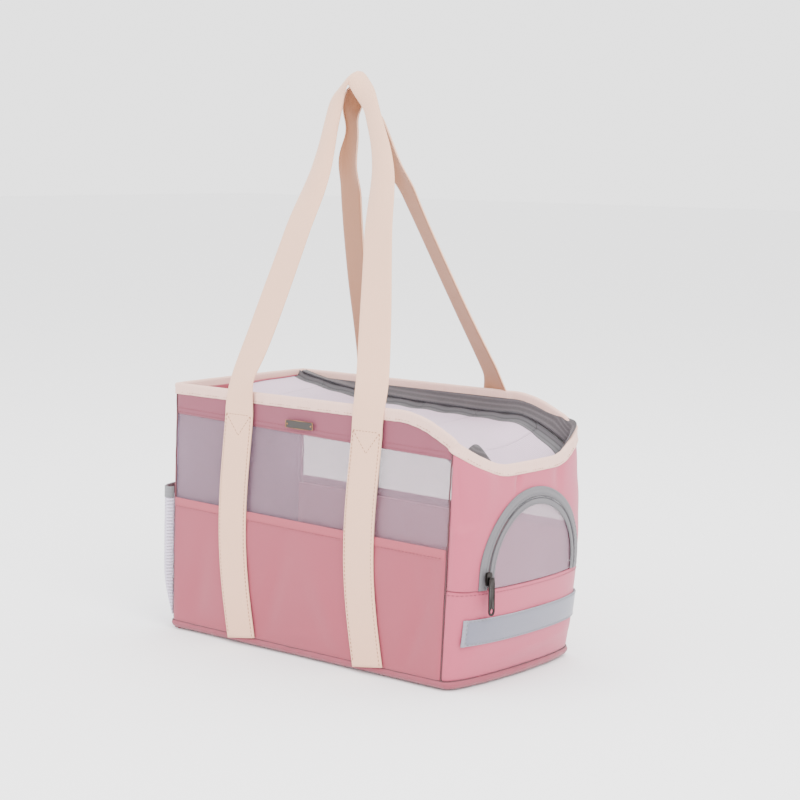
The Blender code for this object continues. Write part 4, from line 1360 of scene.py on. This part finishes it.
    def sewing(self, wall: Wall, label: str) -> None:
        """Edge rows on both tails, and a line with a V under it where each tail ends."""
        rows = []
        inset = self.width / 2.0 - 0.0022
        z = np.linspace(self.foot_z + 0.004, self.sewn_top, 160)
        height = self.out + self.thickness / 2.0
        for foot in self.feet:
            middle = foot + self.bow(z)
            for side in (-1.0, 1.0):
                rows.append(wall_line(wall, middle + side * inset, z, height))
            top = foot + float(self.bow(np.array([self.sewn_top]))[0])
            box = [((-inset, 0.0), (inset, 0.0)), ((-inset, 0.0), (0.0, -0.021)),
                   ((0.0, -0.021), (inset, 0.0))]
            for (x0, z0), (x1, z1) in box:
                share = np.linspace(0.0, 1.0, 24)
                rows.append(wall_line(wall, top + x0 + share * (x1 - x0),
                                      self.sewn_top + z0 + share * (z1 - z0), height))
        SHOP.stitches(f"webbing_{label}_stitches", rows, "thread_cream", slot="cream_webbing",
                      length=0.0026, gap=0.0013, width=0.00035)


# ------------------------------------------------------------------ the arched door

@dataclass
class ArchedDoor:
    """The arched mesh door in the right end, with its tapes, coil, slider and pull."""

    arch_z: float = 0.108
    foot: float = 0.0968
    hole_radius: float = 0.0700
    coil_radius: float = 0.0676
    wall_tape: Tuple[float, float] = (0.0688, 0.0778)
    door_tape: Tuple[float, float] = (0.0612, 0.0664)
    door_radius: float = 0.0655
    hinge: Point = (0.2088, 0.0, DOOR_FOOT)

    def line(self, radius: float, foot: float, count: int) -> np.ndarray:
        """(y, z) places up the front side, over the arch and down the back, evenly spread."""
        straight = self.arch_z - foot
        total = 2.0 * straight + math.pi * radius
        run = np.linspace(0.0, total, count)
        angle = math.pi - np.clip((run - straight) / radius, 0.0, math.pi)
        y = radius * np.cos(angle)
        z = self.arch_z + radius * np.sin(angle)
        z = z - np.maximum(straight - run, 0.0) - np.maximum(run - total + straight, 0.0)
        return np.stack([y, z], axis=1)

    def lifted(self, radius: float, foot: float, out: float, count: int) -> Line:
        """A line along the arch in front of the wall, with its facing vectors."""
        flat = self.line(radius, foot, count)
        points = BODY.end_x(flat[:, 0], flat[:, 1], out)
        return points, unit(BODY.end_x(flat[:, 0], flat[:, 1], out + 0.0005) - points)

    def ribbon(self, radii: Tuple[float, float], out: float, foot: float, lift: float,
               columns: int = 260) -> Tuple[Grid, Grid]:
        """A tape along the arch between two radii, its outer edge lifting by a small waver."""
        rows = np.linspace(0.0, 1.0, 8)
        inner, outer = (self.line(radius, foot, columns) for radius in radii)
        flat = inner[None] + rows[:, None, None] * (outer - inner)[None]
        run = np.linspace(0.0, math.pi * self.coil_radius, columns)
        waver = lift * (0.5 + 0.5 * np.sin(run * TAU / 0.047)) * np.abs(rows[:, None] - 0.2)
        points = BODY.end_x(flat[..., 0], flat[..., 1], out + waver)
        uv = pairs(run[None, :], rows[:, None] * (radii[1] - radii[0]))
        return points, uv

    def tapes(self) -> None:
        """The wall's tape, sewn down, and the coil between the tapes."""
        points, uv = self.ribbon(self.wall_tape, 0.0009, 0.0962, 0.0006)
        SHOP.sheet("door_wall_tape", points, uv, 0.0009, "zip_tape", slot="zip_tape",
                   replaces=("door_zip_tape",))
        rows = [self.lifted(radius, 0.0975, 0.0016, 240)
                for radius in (self.wall_tape[1] - 0.0014, self.wall_tape[0] + 0.0020)]
        SHOP.stitches("door_tape_stitches", rows, "thread_grey", width=0.00032, slot="zip_tape")
        SHOP.coil("door_coil", *self.lifted(self.coil_radius, 0.0980, 0.0013, 240), 0.00105, 0.0014,
                  0.00034, "zip_coil", slot="zip_coil", replaces=("door_zip_teeth",))

    def leaf(self) -> None:
        """The door itself: net under an arched tape, from its foot up to the arch."""
        turn = np.linspace(-math.pi / 2, math.pi / 2, 60)
        y = self.door_radius * np.sin(turn)
        top = self.arch_z + self.door_radius * np.cos(turn)
        share = np.linspace(0.0, 1.0, 36)[:, None]
        z = self.foot + share * (top - self.foot)
        y = np.broadcast_to(y, z.shape)
        sink = 0.0022 * np.cos(y / self.door_radius * math.pi / 2) * np.sin(share * math.pi)
        points = BODY.end_x(y, z, -0.0006 - sink + soft_waves(y, z, 41, 0.0004))
        net = SHOP.sheet("door_net", points, np.stack([y + 0.2, z], -1), 0.0003, "door_net", body=None,
                         slot="mesh", replaces=("door_mesh",))
        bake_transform(net)
        points, uv = self.ribbon(self.door_tape, 0.0009, self.foot, 0.0004)
        tape = SHOP.sheet("door_leaf_tape", points, uv, 0.0009, "zip_tape", body=None,
                          slot="zip_tape", replaces=("door_edge_tape",))
        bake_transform(tape)
        row = self.lifted(self.door_tape[0] + 0.0012, 0.0985, 0.0016, 200)
        sewn = SHOP.stitches("door_leaf_stitches", [row], "thread_grey", body=None, width=0.00032,
                             slot="zip_tape")
        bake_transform(sewn)

    def build(self) -> None:
        """The door and its zip."""
        self.tapes()
        self.leaf()
        ZipPuller("door", flat_axis=0).build()


@dataclass
class ZipPuller:
    """A zip slider, and a drop-shaped pull with a hole, in place of two nodes."""

    label: str
    flat_axis: int

    def build(self) -> None:
        """Slider: two rounded plates and a neck between them. Pull: a bordered tab with a hole."""
        name = self.label + "_slider"
        centre, half = middle_and_half(name)
        axis = self.flat_axis
        parts = []
        for place, thick in ((-0.72, 0.26), (0.30, 0.26)):
            spot, size = centre.copy(), half.copy()
            spot[axis] += place * half[axis]
            size[axis] *= thick
            parts.append(super_block(spot, size * 0.985, 0.45))
        size = half * 0.55
        size[axis] = half[axis] * 0.6
        parts.append(super_block(centre, size, 0.5))
        meshes = [build_mesh("part", part, closed_columns=True) for part in parts]
        SHOP.place(name + "_metal", self.join(name + "_metal", meshes), "gunmetal", body=name,
                   slot="gunmetal", replaces=(name,))
        self.tab(self.label + "_pull")

    @staticmethod
    def join(name: str, meshes: Sequence[bpy.types.Mesh]) -> bpy.types.Mesh:
        """Several closed meshes as one."""
        work = bmesh.new()
        for mesh in meshes:
            work.from_mesh(mesh)
            bpy.data.meshes.remove(mesh)
        joined = bpy.data.meshes.new(name)
        work.to_mesh(joined)
        work.free()
        tidy(joined, merge=1e-7)
        return joined

    @staticmethod
    def tab(name: str) -> None:
        """The pull as a ring surface between its hole and its outline.

        Round the hole's centre the outline is a tall drop; across the section the top face runs
        from the hole to the outline with a raised border, and the underside comes back.
        """
        centre, half_size = middle_and_half(name)
        thin, long = int(np.argmin(half_size)), int(np.argmax(half_size))
        wide = 3 - thin - long
        half, down = half_size[wide], -1.0 if long == 2 else 1.0
        turn = np.linspace(0.0, TAU, 120, endpoint=False)
        reach = 2.0 * half_size[long] - half
        direction = np.stack([np.sin(turn), np.cos(turn)], axis=1)
        ahead = np.clip(direction[:, 1], 1e-9, None)
        to_side = half / np.maximum(np.abs(direction[:, 0]), 1e-9)
        outline = np.where(direction[:, 1] > 0.0, np.minimum(to_side, reach / ahead), half)
        beside = np.clip((outline * direction[:, 1]) / reach, 0.0, 1.0)
        waist = 1.0 - 0.18 * np.exp(-((beside - 0.80) / 0.10) ** 2)
        hole = half * 0.52
        section = [(0.0, -0.6), (0.0, 0.6), (0.04, 0.92), (0.16, 1.0), (0.24, 0.62), (0.74, 0.62),
                   (0.84, 1.0), (0.95, 0.95), (1.0, 0.5), (1.0, -0.5), (0.95, -1.0), (0.08, -1.0)]
        grid = np.zeros((len(section), len(turn), 3))
        start = centre[long] + down * (half_size[long] - half)
        for row, (share, height) in enumerate(section):
            radius = hole + share * (outline - hole)
            grid[row, :, wide] = centre[wide] + radius * direction[:, 0] * waist
            grid[row, :, long] = start - down * radius * direction[:, 1]
            grid[row, :, thin] = centre[thin] + height * half_size[thin]
        mesh = build_mesh(name, grid, closed_rows=True, closed_columns=True)
        tidy(mesh)
        SHOP.place(name + "_metal", mesh, "gunmetal", body=name, slot="gunmetal", replaces=(name,))


@dataclass
class HookStrip:
    """Grey hook-and-loop strip under the door, with a folded end and firm edges."""

    z: Tuple[float, float] = (0.0435, 0.0685)
    turn: Tuple[float, float] = (math.radians(-66.0), math.radians(78.0))

    def build(self) -> None:
        """Pile, an edge tape above and below, a doubled end, and stitches round it."""
        low, high = self.z
        first, last = self.turn
        Panel(Wall.RIGHT, first, last, level(low), level(high), 0.0012, roll=0.0004, waves=0.0003,
              seed=51).make("hook_strip_pile", 0.0014, "strip_pile", slot="strip_grey",
                            replaces=("hook_loop_strip",))
        for label, edge in (("foot", low), ("head", high)):
            side = 1.0 if label == "foot" else -1.0
            bottom, top = sorted((edge - side * 0.0002, edge + side * 0.0024))
            Panel(Wall.RIGHT, first - 0.002, last + 0.002, level(bottom), level(top), 0.0017,
                  roll=0.0003, waves=0.0).make(f"hook_strip_{label}", 0.0008, "strip_edge",
                                               slot="strip_grey")
        Panel(Wall.RIGHT, first - 0.004, first + 0.085, level(low - 0.0004), level(high + 0.0004),
              0.0021, roll=0.0006, waves=0.0002, seed=52
              ).make("hook_strip_fold", 0.0012, "strip_edge", slot="strip_grey")
        across = np.linspace(first + 0.02, last - 0.01, 150)
        rows = [wall_line(Wall.RIGHT, across, np.full(across.shape, z), 0.0022)
                for z in (low + 0.0012, high - 0.0012)]
        z = np.linspace(low + 0.002, high - 0.002, 30)
        rows.append(wall_line(Wall.RIGHT, np.full(z.shape, first + 0.070), z, 0.0029))
        SHOP.stitches("hook_strip_stitches", rows, "thread_grey", width=0.0003, slot="strip_grey")


# ------------------------------------------------------------------ the top closure

@dataclass
class TopClosure:
    """Zip band round the inside of the mouth, the net cover under it and the facing at the left."""

    cover_z: float = 0.2315
    sewn_x: float = -0.1862
    half_span: float = 0.0862
    mid_panels: Tuple[float, ...] = (-0.148, -0.078, -0.008, 0.062, 0.140)
    folds: Tuple[float, ...] = (-0.183, -0.113, -0.043, 0.027, 0.097)
    band_start: float = -0.180
    end_inset: float = 0.0115
    tape_out: float = 0.0011
    tape_up: float = 0.0062
    tuck: float = -0.0075
    near_stand: float = 0.0215
    far_stand: float = 0.0130
    band_out: float = -0.0036
    turn_out: float = 0.0056

    def back_rise(self, x: np.ndarray) -> np.ndarray:
        """How much higher the cover is sewn at the back: it dies away exponentially to the right."""
        return 0.0215 * np.exp(-(x + 0.186) / 0.080)

    def front_rise(self, x: np.ndarray) -> np.ndarray:
        """The same at the front, over a much shorter run."""
        return 0.011 * np.exp(-(x + 0.186) / 0.022)

    @staticmethod
    def rounded(line: Grid, rounds: int = 90) -> Grid:
        """A line eased round the two corners of the door end, by averaging neighbours there."""
        eased = line.copy()
        corner = np.abs(np.abs(line[..., 1]) - BODY.half_width) + np.abs(line[..., 0] - BODY.seam_right)
        weight = 0.5 * np.exp(-(corner / 0.030) ** 2)[..., None]
        for _ in range(rounds):
            average = (eased[..., :-2, :] + eased[..., 2:, :]) / 2.0
            eased[..., 1:-1, :] += weight[..., 1:-1, :] * (average - eased[..., 1:-1, :])
        return eased

    def edge_height(self, wall: Wall, across: np.ndarray) -> np.ndarray:
        """Height of the cover's sewn edge along a wall."""
        drop = self.cover_z - BODY.rim_z
        if wall is Wall.RIGHT:
            return BODY.rim(wall, across) + drop + 0.003
        rise = self.back_rise(across) if wall is Wall.BACK else self.front_rise(across)
        ease = 0.003 * smoothstep((across - 0.08) / 0.09)
        return BODY.rim(wall, across) + drop + rise + ease

    def cover_point(self, x: np.ndarray, share: np.ndarray) -> np.ndarray:
        """The cover over the straight part: between its two edges, sagging between them.

        Share runs from minus one at the front to one at the back. The sag is one less the share's
        square, and grows towards the dip at the right.
        """
        x, share = np.broadcast_arrays(x, share)
        front = self.edge_height(Wall.FRONT, x)
        back = self.edge_height(Wall.BACK, x)
        side = smoothstep((share + 1.0) / 1.5)
        sag = 0.0035 + 0.012 * smoothstep((x - 0.06) / 0.10) - 0.002 * smoothstep((-0.10 - x) / 0.08)
        ripple = 0.0007 * np.sin(x * 95.0 + share * 2.0) * (1.0 - share ** 2)
        z = front + side * (back - front) - sag * (1.0 - np.abs(share) ** 2.4) + ripple
        z = z + 0.0008 * np.sin(x * 160.0 + 1.0) * np.abs(share) ** 6
        return np.stack([x, self.half_span * share, z], axis=-1)

    def shares(self) -> np.ndarray:
        """Places across the cover from minus one to one, closer at both edges."""
        side = np.linspace(0.0, 0.12, 9)
        return np.concatenate([-1.0 + side[:-1], np.linspace(-0.88, 0.88, 34), 1.0 - side[::-1][1:]])

    def with_tape(self, points: Grid, share: np.ndarray, uv_along: Grid) -> Tuple[Grid, Grid]:
        """The cover with its own zip tape added along both edges, rising out to the coil."""
        rise = np.array([1.0, 0.72, 0.42, 0.16])
        first, last = points[:, :1], points[:, -1:]
        front = first + rise[None, :, None] * np.array([0.0, -self.tape_out, self.tape_up])
        back = last + rise[None, ::-1, None] * np.array([0.0, self.tape_out * 1.8, self.tape_up])
        height = math.hypot(self.tape_out, self.tape_up)
        inner = height + self.half_span * (1.0 - np.abs(share))
        edge = np.concatenate([height * (1.0 - rise), inner, height * (1.0 - rise)[::-1]])
        grid = np.concatenate([front, points, back], axis=1)
        along = np.concatenate([np.repeat(uv_along[:, :1], 4, 1), uv_along,
                                np.repeat(uv_along[:, -1:], 4, 1)], axis=1)
        return grid, pairs(along, edge[None, :])

    def cover_strips(self) -> None:
        """Five strips of net side by side, and the rounded end strip."""
        share = self.shares()
        places = (self.sewn_x, *self.mid_panels)
        for number, (start, stop) in enumerate(zip(places, places[1:])):
            x = np.linspace(start, stop, 26)[:, None]
            points = self.cover_point(x, share[None, :])
            points, uv = self.with_tape(points, share, points[..., 0] + 0.2)
            node = f"cover_panel_{number}" if number else "cover_anchor"
            net = SHOP.sheet(f"cover_net_{number}", points, uv, 0.0004, "cover_net", body=None,
                             slot="mesh", replaces=(node,) if number else ())
            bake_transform(net)
        self.cover_end(share)

    def cover_end(self, share: np.ndarray) -> None:
        """The last strip, a fan from a straight line to the curved end of the zip.

        Each thread runs from a point on the line to the point as far round the end curve, and dips
        between them by half a sine.
        """
        turn = np.linspace(-math.pi / 2, math.pi / 2, 90)
        side = np.linspace(self.mid_panels[-1], BODY.seam_right, 24)
        arc = BODY.point(Wall.RIGHT, turn, self.edge_height(Wall.RIGHT, turn), -self.end_inset)
        arc[:, 1] = np.clip(arc[:, 1], -self.half_span, self.half_span)
        sides = [np.stack([side, np.full(24, wall.side * self.half_span),
                           self.edge_height(wall, side)], axis=1) for wall in (Wall.FRONT, Wall.BACK)]
        border = self.rounded(np.concatenate([sides[0][:-1], arc[2:-2], sides[1][::-1][1:]]), 40)
        run = lengths(border)
        spread = np.linspace(0.0, 1.0, 150)
        end = follow(spread * run[-1], run, border)
        start = self.cover_point(np.array([[self.mid_panels[-1]]]), (2.0 * spread - 1.0)[None, :])[0]
        step = np.linspace(0.0, 1.0, 34)[:, None, None]
        points = start[None] + step * (end - start)[None]
        middle = np.sin(spread * math.pi) ** 0.6
        points[..., 2] -= 0.0045 * np.sin(step[..., 0] * math.pi) * middle
        out = unit(np.cross(np.gradient(end, axis=0), [0.0, 0.0, 1.0]))
        rise = np.array([0.16, 0.42, 0.72, 1.0])[:, None, None]
        collar = end[None] + rise * (self.tape_out * out + [0.0, 0.0, self.tape_up])[None]
        grid = np.concatenate([points, collar])
        tape = math.hypot(self.tape_out, self.tape_up)
        inside = np.linalg.norm(points[:, :, None, :2] - end[None, None, :, :2], axis=-1).min(axis=2)
        edge = np.concatenate([tape + inside, np.broadcast_to(tape * (1.0 - rise[..., 0]),
                                                              (4, len(spread)))])
        uv = pairs(grid[..., 0] + grid[..., 1] + 0.4, edge)
        net = SHOP.sheet("cover_net_end", grid, uv, 0.0004, "cover_net", body="cover_5", slot="mesh",
                         replaces=("cover_panel_5",))

    def stand(self, wall: Wall, across: np.ndarray) -> np.ndarray:
        """The tape's upper edge against the rim: under the binding, but standing up at two bends."""
        if wall is Wall.BACK:
            return self.tuck + self.far_stand * smoothstep((across - 0.150) / 0.024)
        if wall is Wall.FRONT:
            return np.full(across.shape, self.tuck)
        hump = self.near_stand * np.exp(-((across + math.radians(44.0)) / math.radians(12.0)) ** 2)
        corner = 1.0 - smoothstep((math.radians(62.0) - across) / math.radians(42.0))
        return self.tuck + hump + self.far_stand * corner

    @staticmethod
    def turned_out(wall: Wall, across: np.ndarray) -> np.ndarray:
        """How far the standing tape falls outwards over the binding: only at the far corner."""
        if wall is Wall.BACK:
            return smoothstep((across - 0.160) / 0.020)
        if wall is Wall.FRONT:
            return np.zeros(across.shape)
        return smoothstep((across - math.radians(10.0)) / math.radians(40.0))

    def band(self) -> None:
        """The wall side of the zip: tape under the binding and the coil along its foot."""
        grids, maps, coil, faces, run_start = [], [], [], [], 0.0
        hidden = np.array([0.0056, 0.0028] + [0.0] * 9)[:, None]
        steps = np.concatenate([np.zeros((2, 1)), np.linspace(0.0, 1.0, 9)[:, None]])
        for wall, across in ((Wall.FRONT, np.linspace(-0.134, BODY.seam_right, 150)),
                             (Wall.RIGHT, np.linspace(-math.pi / 2, math.pi / 2, 120)),
                             (Wall.BACK, np.linspace(BODY.seam_right, self.band_start, 180))):
            low = self.edge_height(wall, across) + self.tape_up + 0.0012
            high = np.maximum(BODY.rim(wall, across) + self.stand(wall, across), low + 0.0005)
            z = low + steps * (high - low) - hidden
            run = run_start + BODY.run_across(wall, across) * (1 if wall is not Wall.BACK else -1)
            wave = 0.0006 * np.sin(run * TAU / 0.083) * (1.0 - steps)
            lean = (-0.0062 if wall is Wall.BACK else -0.0046) * (1.0 - steps) ** 1.5
            over = smoothstep((z - BODY.rim(wall, across) - 0.0006) / 0.0050) * self.turned_out(wall, across)
            out = self.band_out + lean + 0.6 * hidden - wave + self.turn_out * over
            grids.append(BODY.point(wall, across, z, out))
            maps.append(pairs(run, z - low))
            coil.append(BODY.point(wall, across, low - 0.0006, self.band_out + lean[0] - 0.0003))
            faces.append(-BODY.facing(wall, across, low))
        points = self.rounded(np.concatenate([grids[0], *(grid[:, 1:] for grid in grids[1:])], axis=1))
        uv = np.concatenate([maps[0], *(part[:, 1:] for part in maps[1:])], axis=1)
        SHOP.sheet("top_wall_tape", points, uv, 0.0009, "zip_tape_dark", slot="zip_tape",
                   replaces=("top_zip_tape",))
        line = self.rounded(np.concatenate([coil[0], *(part[1:] for part in coil[1:])]))
        facing = np.concatenate([faces[0], *(part[1:] for part in faces[1:])])
        SHOP.coil("top_coil", line, facing, 0.0010, 0.0016, 0.00034, "zip_coil", slot="zip_coil",
                  replaces=("top_zip_teeth",))

    def facing_strip(self) -> None:
        """The pink facing inside the left end, scalloped along its foot where it is hand sewn."""
        turn = np.linspace(math.radians(-84.0), math.radians(84.0), 160)
        run = BODY.run_across(Wall.LEFT, turn)
        foot, head = 0.2425, 0.2525
        low = foot - 0.0022 * np.abs(np.sin(run * TAU / 0.022))
        steps = np.linspace(0.0, 1.0, 8)[:, None]
        z = low + steps * (head - low)
        out = -0.0034 - 0.0015 * (1.0 - steps) ** 2
        points = BODY.point(Wall.LEFT, turn, z, out)
        uv = pairs(run + 0.2, z)
        SHOP.sheet("left_facing_cloth", points, uv, 0.0010, "hem_pink", slot="light_pink_fabric",
                   replaces=("left_facing",))
        x = np.linspace(-0.1905, -0.1845, 6)[:, None]
        share = np.linspace(-1.0, 1.0, 40)[None, :]
        ledge = self.cover_point(np.full(x.shape, self.sewn_x), share * 0.985)
        ledge[..., 0] = x
        ledge[..., 2] += 0.0006 + 0.10 * (self.sewn_x - x)
        uv = pairs(share * 0.09 + 0.2, x + 0.2)
        SHOP.sheet("cover_ledge", ledge, uv, 0.0009, "hem_pink", slot="light_pink_fabric",
                   replaces=("cover_anchor",))

    def build(self) -> None:
        """The whole closure."""
        self.band()
        self.facing_strip()
        self.cover_strips()
        ZipPuller("top", flat_axis=1).build()


# ------------------------------------------------------------------ label, board and pad

@dataclass
class LabelPlate:
    """A small blank plate with a raised border and a rivet at each end."""

    def build(self) -> None:
        """Plate, border and rivets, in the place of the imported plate."""
        centre, half = middle_and_half("label_plate")
        centre[1] -= 0.0026
        face = build_mesh("plate", super_block(centre, half * [0.94, 0.9, 0.80], 0.16, 24, 48),
                          closed_columns=True)
        tidy(face)
        SHOP.place("label_face", face, "label_face", slot="label_brown", replaces=("label_plate",))
        turn = np.linspace(0.0, TAU, 160, endpoint=False)
        ring = np.stack([signed_power(np.cos(turn), 0.14) * half[0] * 0.96, np.zeros(160),
                         signed_power(np.sin(turn), 0.14) * half[2] * 0.88], axis=1) + centre
        ring[:, 1] = centre[1] - half[1] * 0.75
        out = unit(ring - centre) * [1.0, 0.0, 1.0]
        SHOP.sweep("label_border", ring, unit(out), np.broadcast_to([0.0, -1.0, 0.0], ring.shape),
                   round_section(0.00042), "label_rim", closed=True, slot="label_brown")
        rivets = [build_mesh("rivet", super_block(
            centre + [side * half[0] * 0.84, -half[1], 0.0], (0.0009, 0.0005, 0.0009), 1.0, 12, 20),
            closed_columns=True) for side in (-1.0, 1.0)]
        SHOP.place("label_rivets", ZipPuller.join("label_rivets", rivets), "label_rim",
                   slot="label_brown")


@dataclass
class BaseInside:
    """The stiff board and the padded mat on it."""

    puff: float = 0.004

    def board(self) -> None:
        """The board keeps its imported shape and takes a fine-grained finish."""
        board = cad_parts["base_board"]
        board.material_slots[0].material = material("board_grey")

    def pad(self) -> None:
        """The mat: a rounded slab puffed out by cloth pressure, then smoothed."""
        low, high = (np.asarray(corner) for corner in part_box("pad"))
        centre, half = (low + high) / 2.0, (high - low) / 2.0 - [0.004, 0.004, 0.0035]
        mesh = build_mesh("pad_mat", super_block(centre, half, 0.30, 40, 90), closed_columns=True)
        tidy(mesh)
        pad = SHOP.place("pad_mat", mesh, "pad_pink", slot="pad_fabric", replaces=("pad",))
        self.inflate(pad, low, high)
        self.map_cloth(pad.data)

    def inflate(self, pad: bpy.types.Object, low: np.ndarray, high: np.ndarray) -> None:
        """Remesh, run cloth with pressure and no gravity, and hold each point within the space."""
        scene = bpy.context.scene
        bpy.context.view_layer.objects.active = pad
        remesh = pad.modifiers.new("remesh", "REMESH")
        remesh.mode = "VOXEL"
        remesh.voxel_size = 0.0055
        bpy.context.view_layer.update()
        shaped = bpy.data.meshes.new_from_object(
            pad.evaluated_get(bpy.context.evaluated_depsgraph_get()))
        pad.modifiers.clear()
        start = vertex_places(shaped)
        pad.data = shaped
        cloth = pad.modifiers.new("cloth", "CLOTH")
        cloth.settings.use_pressure = True
        cloth.settings.uniform_pressure_force = 4.0
        cloth.settings.effector_weights.gravity = 0.0
        cloth.settings.quality = 5
        for number in range(1, 21):
            scene.frame_set(number)
        depsgraph = bpy.context.evaluated_depsgraph_get()
        puffed = bpy.data.meshes.new_from_object(pad.evaluated_get(depsgraph))
        shift = np.clip(vertex_places(puffed) - start, -self.puff, self.puff)
        pad.modifiers.clear()
        scene.frame_set(1)
        final = np.clip(start + shift, low + 0.0003, high - 0.0003)
        puffed.vertices.foreach_set("co", final.reshape(-1).astype(np.float32))
        puffed.update()
        pad.data = puffed
        puffed.shade_smooth()

    @staticmethod
    def map_cloth(mesh: bpy.types.Mesh) -> None:
        """A cloth map straight down: x and y plus height."""
        corners = np.empty(len(mesh.loops), dtype=np.int32)
        mesh.loops.foreach_get("vertex_index", corners)
        places = vertex_places(mesh)[corners]
        layer = mesh.uv_layers.get("cloth") or mesh.uv_layers.new(name="cloth")
        flat = np.stack([places[:, 0] + 0.2, places[:, 1] + places[:, 2] + 0.2], axis=1)
        layer.data.foreach_set("uv", flat.reshape(-1))

    def build(self) -> None:
        """Both pieces."""
        self.board()
        self.pad()


# ------------------------------------------------------------------ stage

@dataclass
class Stage:
    """Pale floor, soft studio lights and the camera."""

    position: Point = (1.2979, -1.5039, 0.5033)
    azimuth: float = 40.04
    fall: float = 7.25
    roll: float = 0.65
    lens: float = 89.1

    @staticmethod
    def stand(place: Point, side: np.ndarray, top: np.ndarray, back: np.ndarray) -> Matrix:
        """The matrix of a thing at a place, from its own three directions."""
        return Matrix.Translation(place) @ Matrix(np.stack([side, top, back], axis=1).tolist()).to_4x4()

    def camera(self) -> None:
        """A camera set by where it stands, which way it looks and its roll."""
        turn, fall, roll = (math.radians(angle) for angle in (self.azimuth, self.fall, self.roll))
        ahead = np.array([-math.sin(turn) * math.cos(fall), math.cos(turn) * math.cos(fall),
                          -math.sin(fall)])
        right = np.array([math.cos(turn), math.sin(turn), 0.0])
        up = np.cross(right, ahead)
        side = math.cos(roll) * right + math.sin(roll) * up
        top = math.cos(roll) * up - math.sin(roll) * right
        data = bpy.data.cameras.new("camera")
        data.lens = self.lens
        data.sensor_width = 36.0
        data.clip_start = 0.05
        camera = added("camera", data)
        camera.matrix_world = self.stand(self.position, side, top, -ahead)
        bpy.context.scene.camera = camera

    def light(self, name: str, place: Point, size: float, power: float) -> None:
        """A square soft box aimed at the middle of the bag."""
        data = bpy.data.lights.new(name, "AREA")
        data.size = size
        data.energy = power
        lamp = added(name, data)
        back = unit(np.asarray(place) - [0.0, 0.0, 0.2])
        side = unit(np.cross([0.0, 0.0, 1.0], back))
        top = np.cross(back, side)
        lamp.matrix_world = self.stand(place, side, top, back)

    def floor(self) -> None:
        """A wide, plain floor."""
        size = 14.0
        edge = np.linspace(-size, size, 3)
        x, y = np.meshgrid(edge, edge, indexing="xy")
        mesh = build_mesh("studio_floor", np.stack([x, y, np.full(x.shape, -0.0004)], axis=-1))
        mesh.materials.append(Graph("floor_white").finish((0.93, 0.93, 0.935), 0.8,
                                                          fixed={"Specular IOR Level": 0.1}))
        added("studio_floor", mesh)

    def build(self) -> None:
        """Floor, world, lights and camera."""
        self.floor()
        world = bpy.data.worlds.new("studio")
        world.use_nodes = True
        sky = world.node_tree.nodes["Background"].inputs
        sky[0].default_value, sky[1].default_value = (1.0, 1.0, 1.0, 1.0), 2.6
        bpy.context.scene.world = world
        self.light("key", (2.2, -1.0, 1.9), 1.6, 84.0)
        self.light("fill", (-1.4, -2.4, 1.3), 2.0, 32.0)
        self.light("top", (0.0, 0.4, 2.6), 2.0, 46.0)
        self.camera()


def main() -> None:
    """Build the bag's looks in order."""
    logging.basicConfig(level=logging.INFO, format="%(message)s")
    Stage().build()
    BodyWalls().build()
    SidePocket().build()
    RimBinding().build()
    Webbing().build()
    ArchedDoor().build()
    HookStrip().build()
    TopClosure().build()
    LabelPlate().build()
    BaseInside().build()
    LOG.info("%d pieces", SHOP.count)


if __name__ == "__main__":
    main()
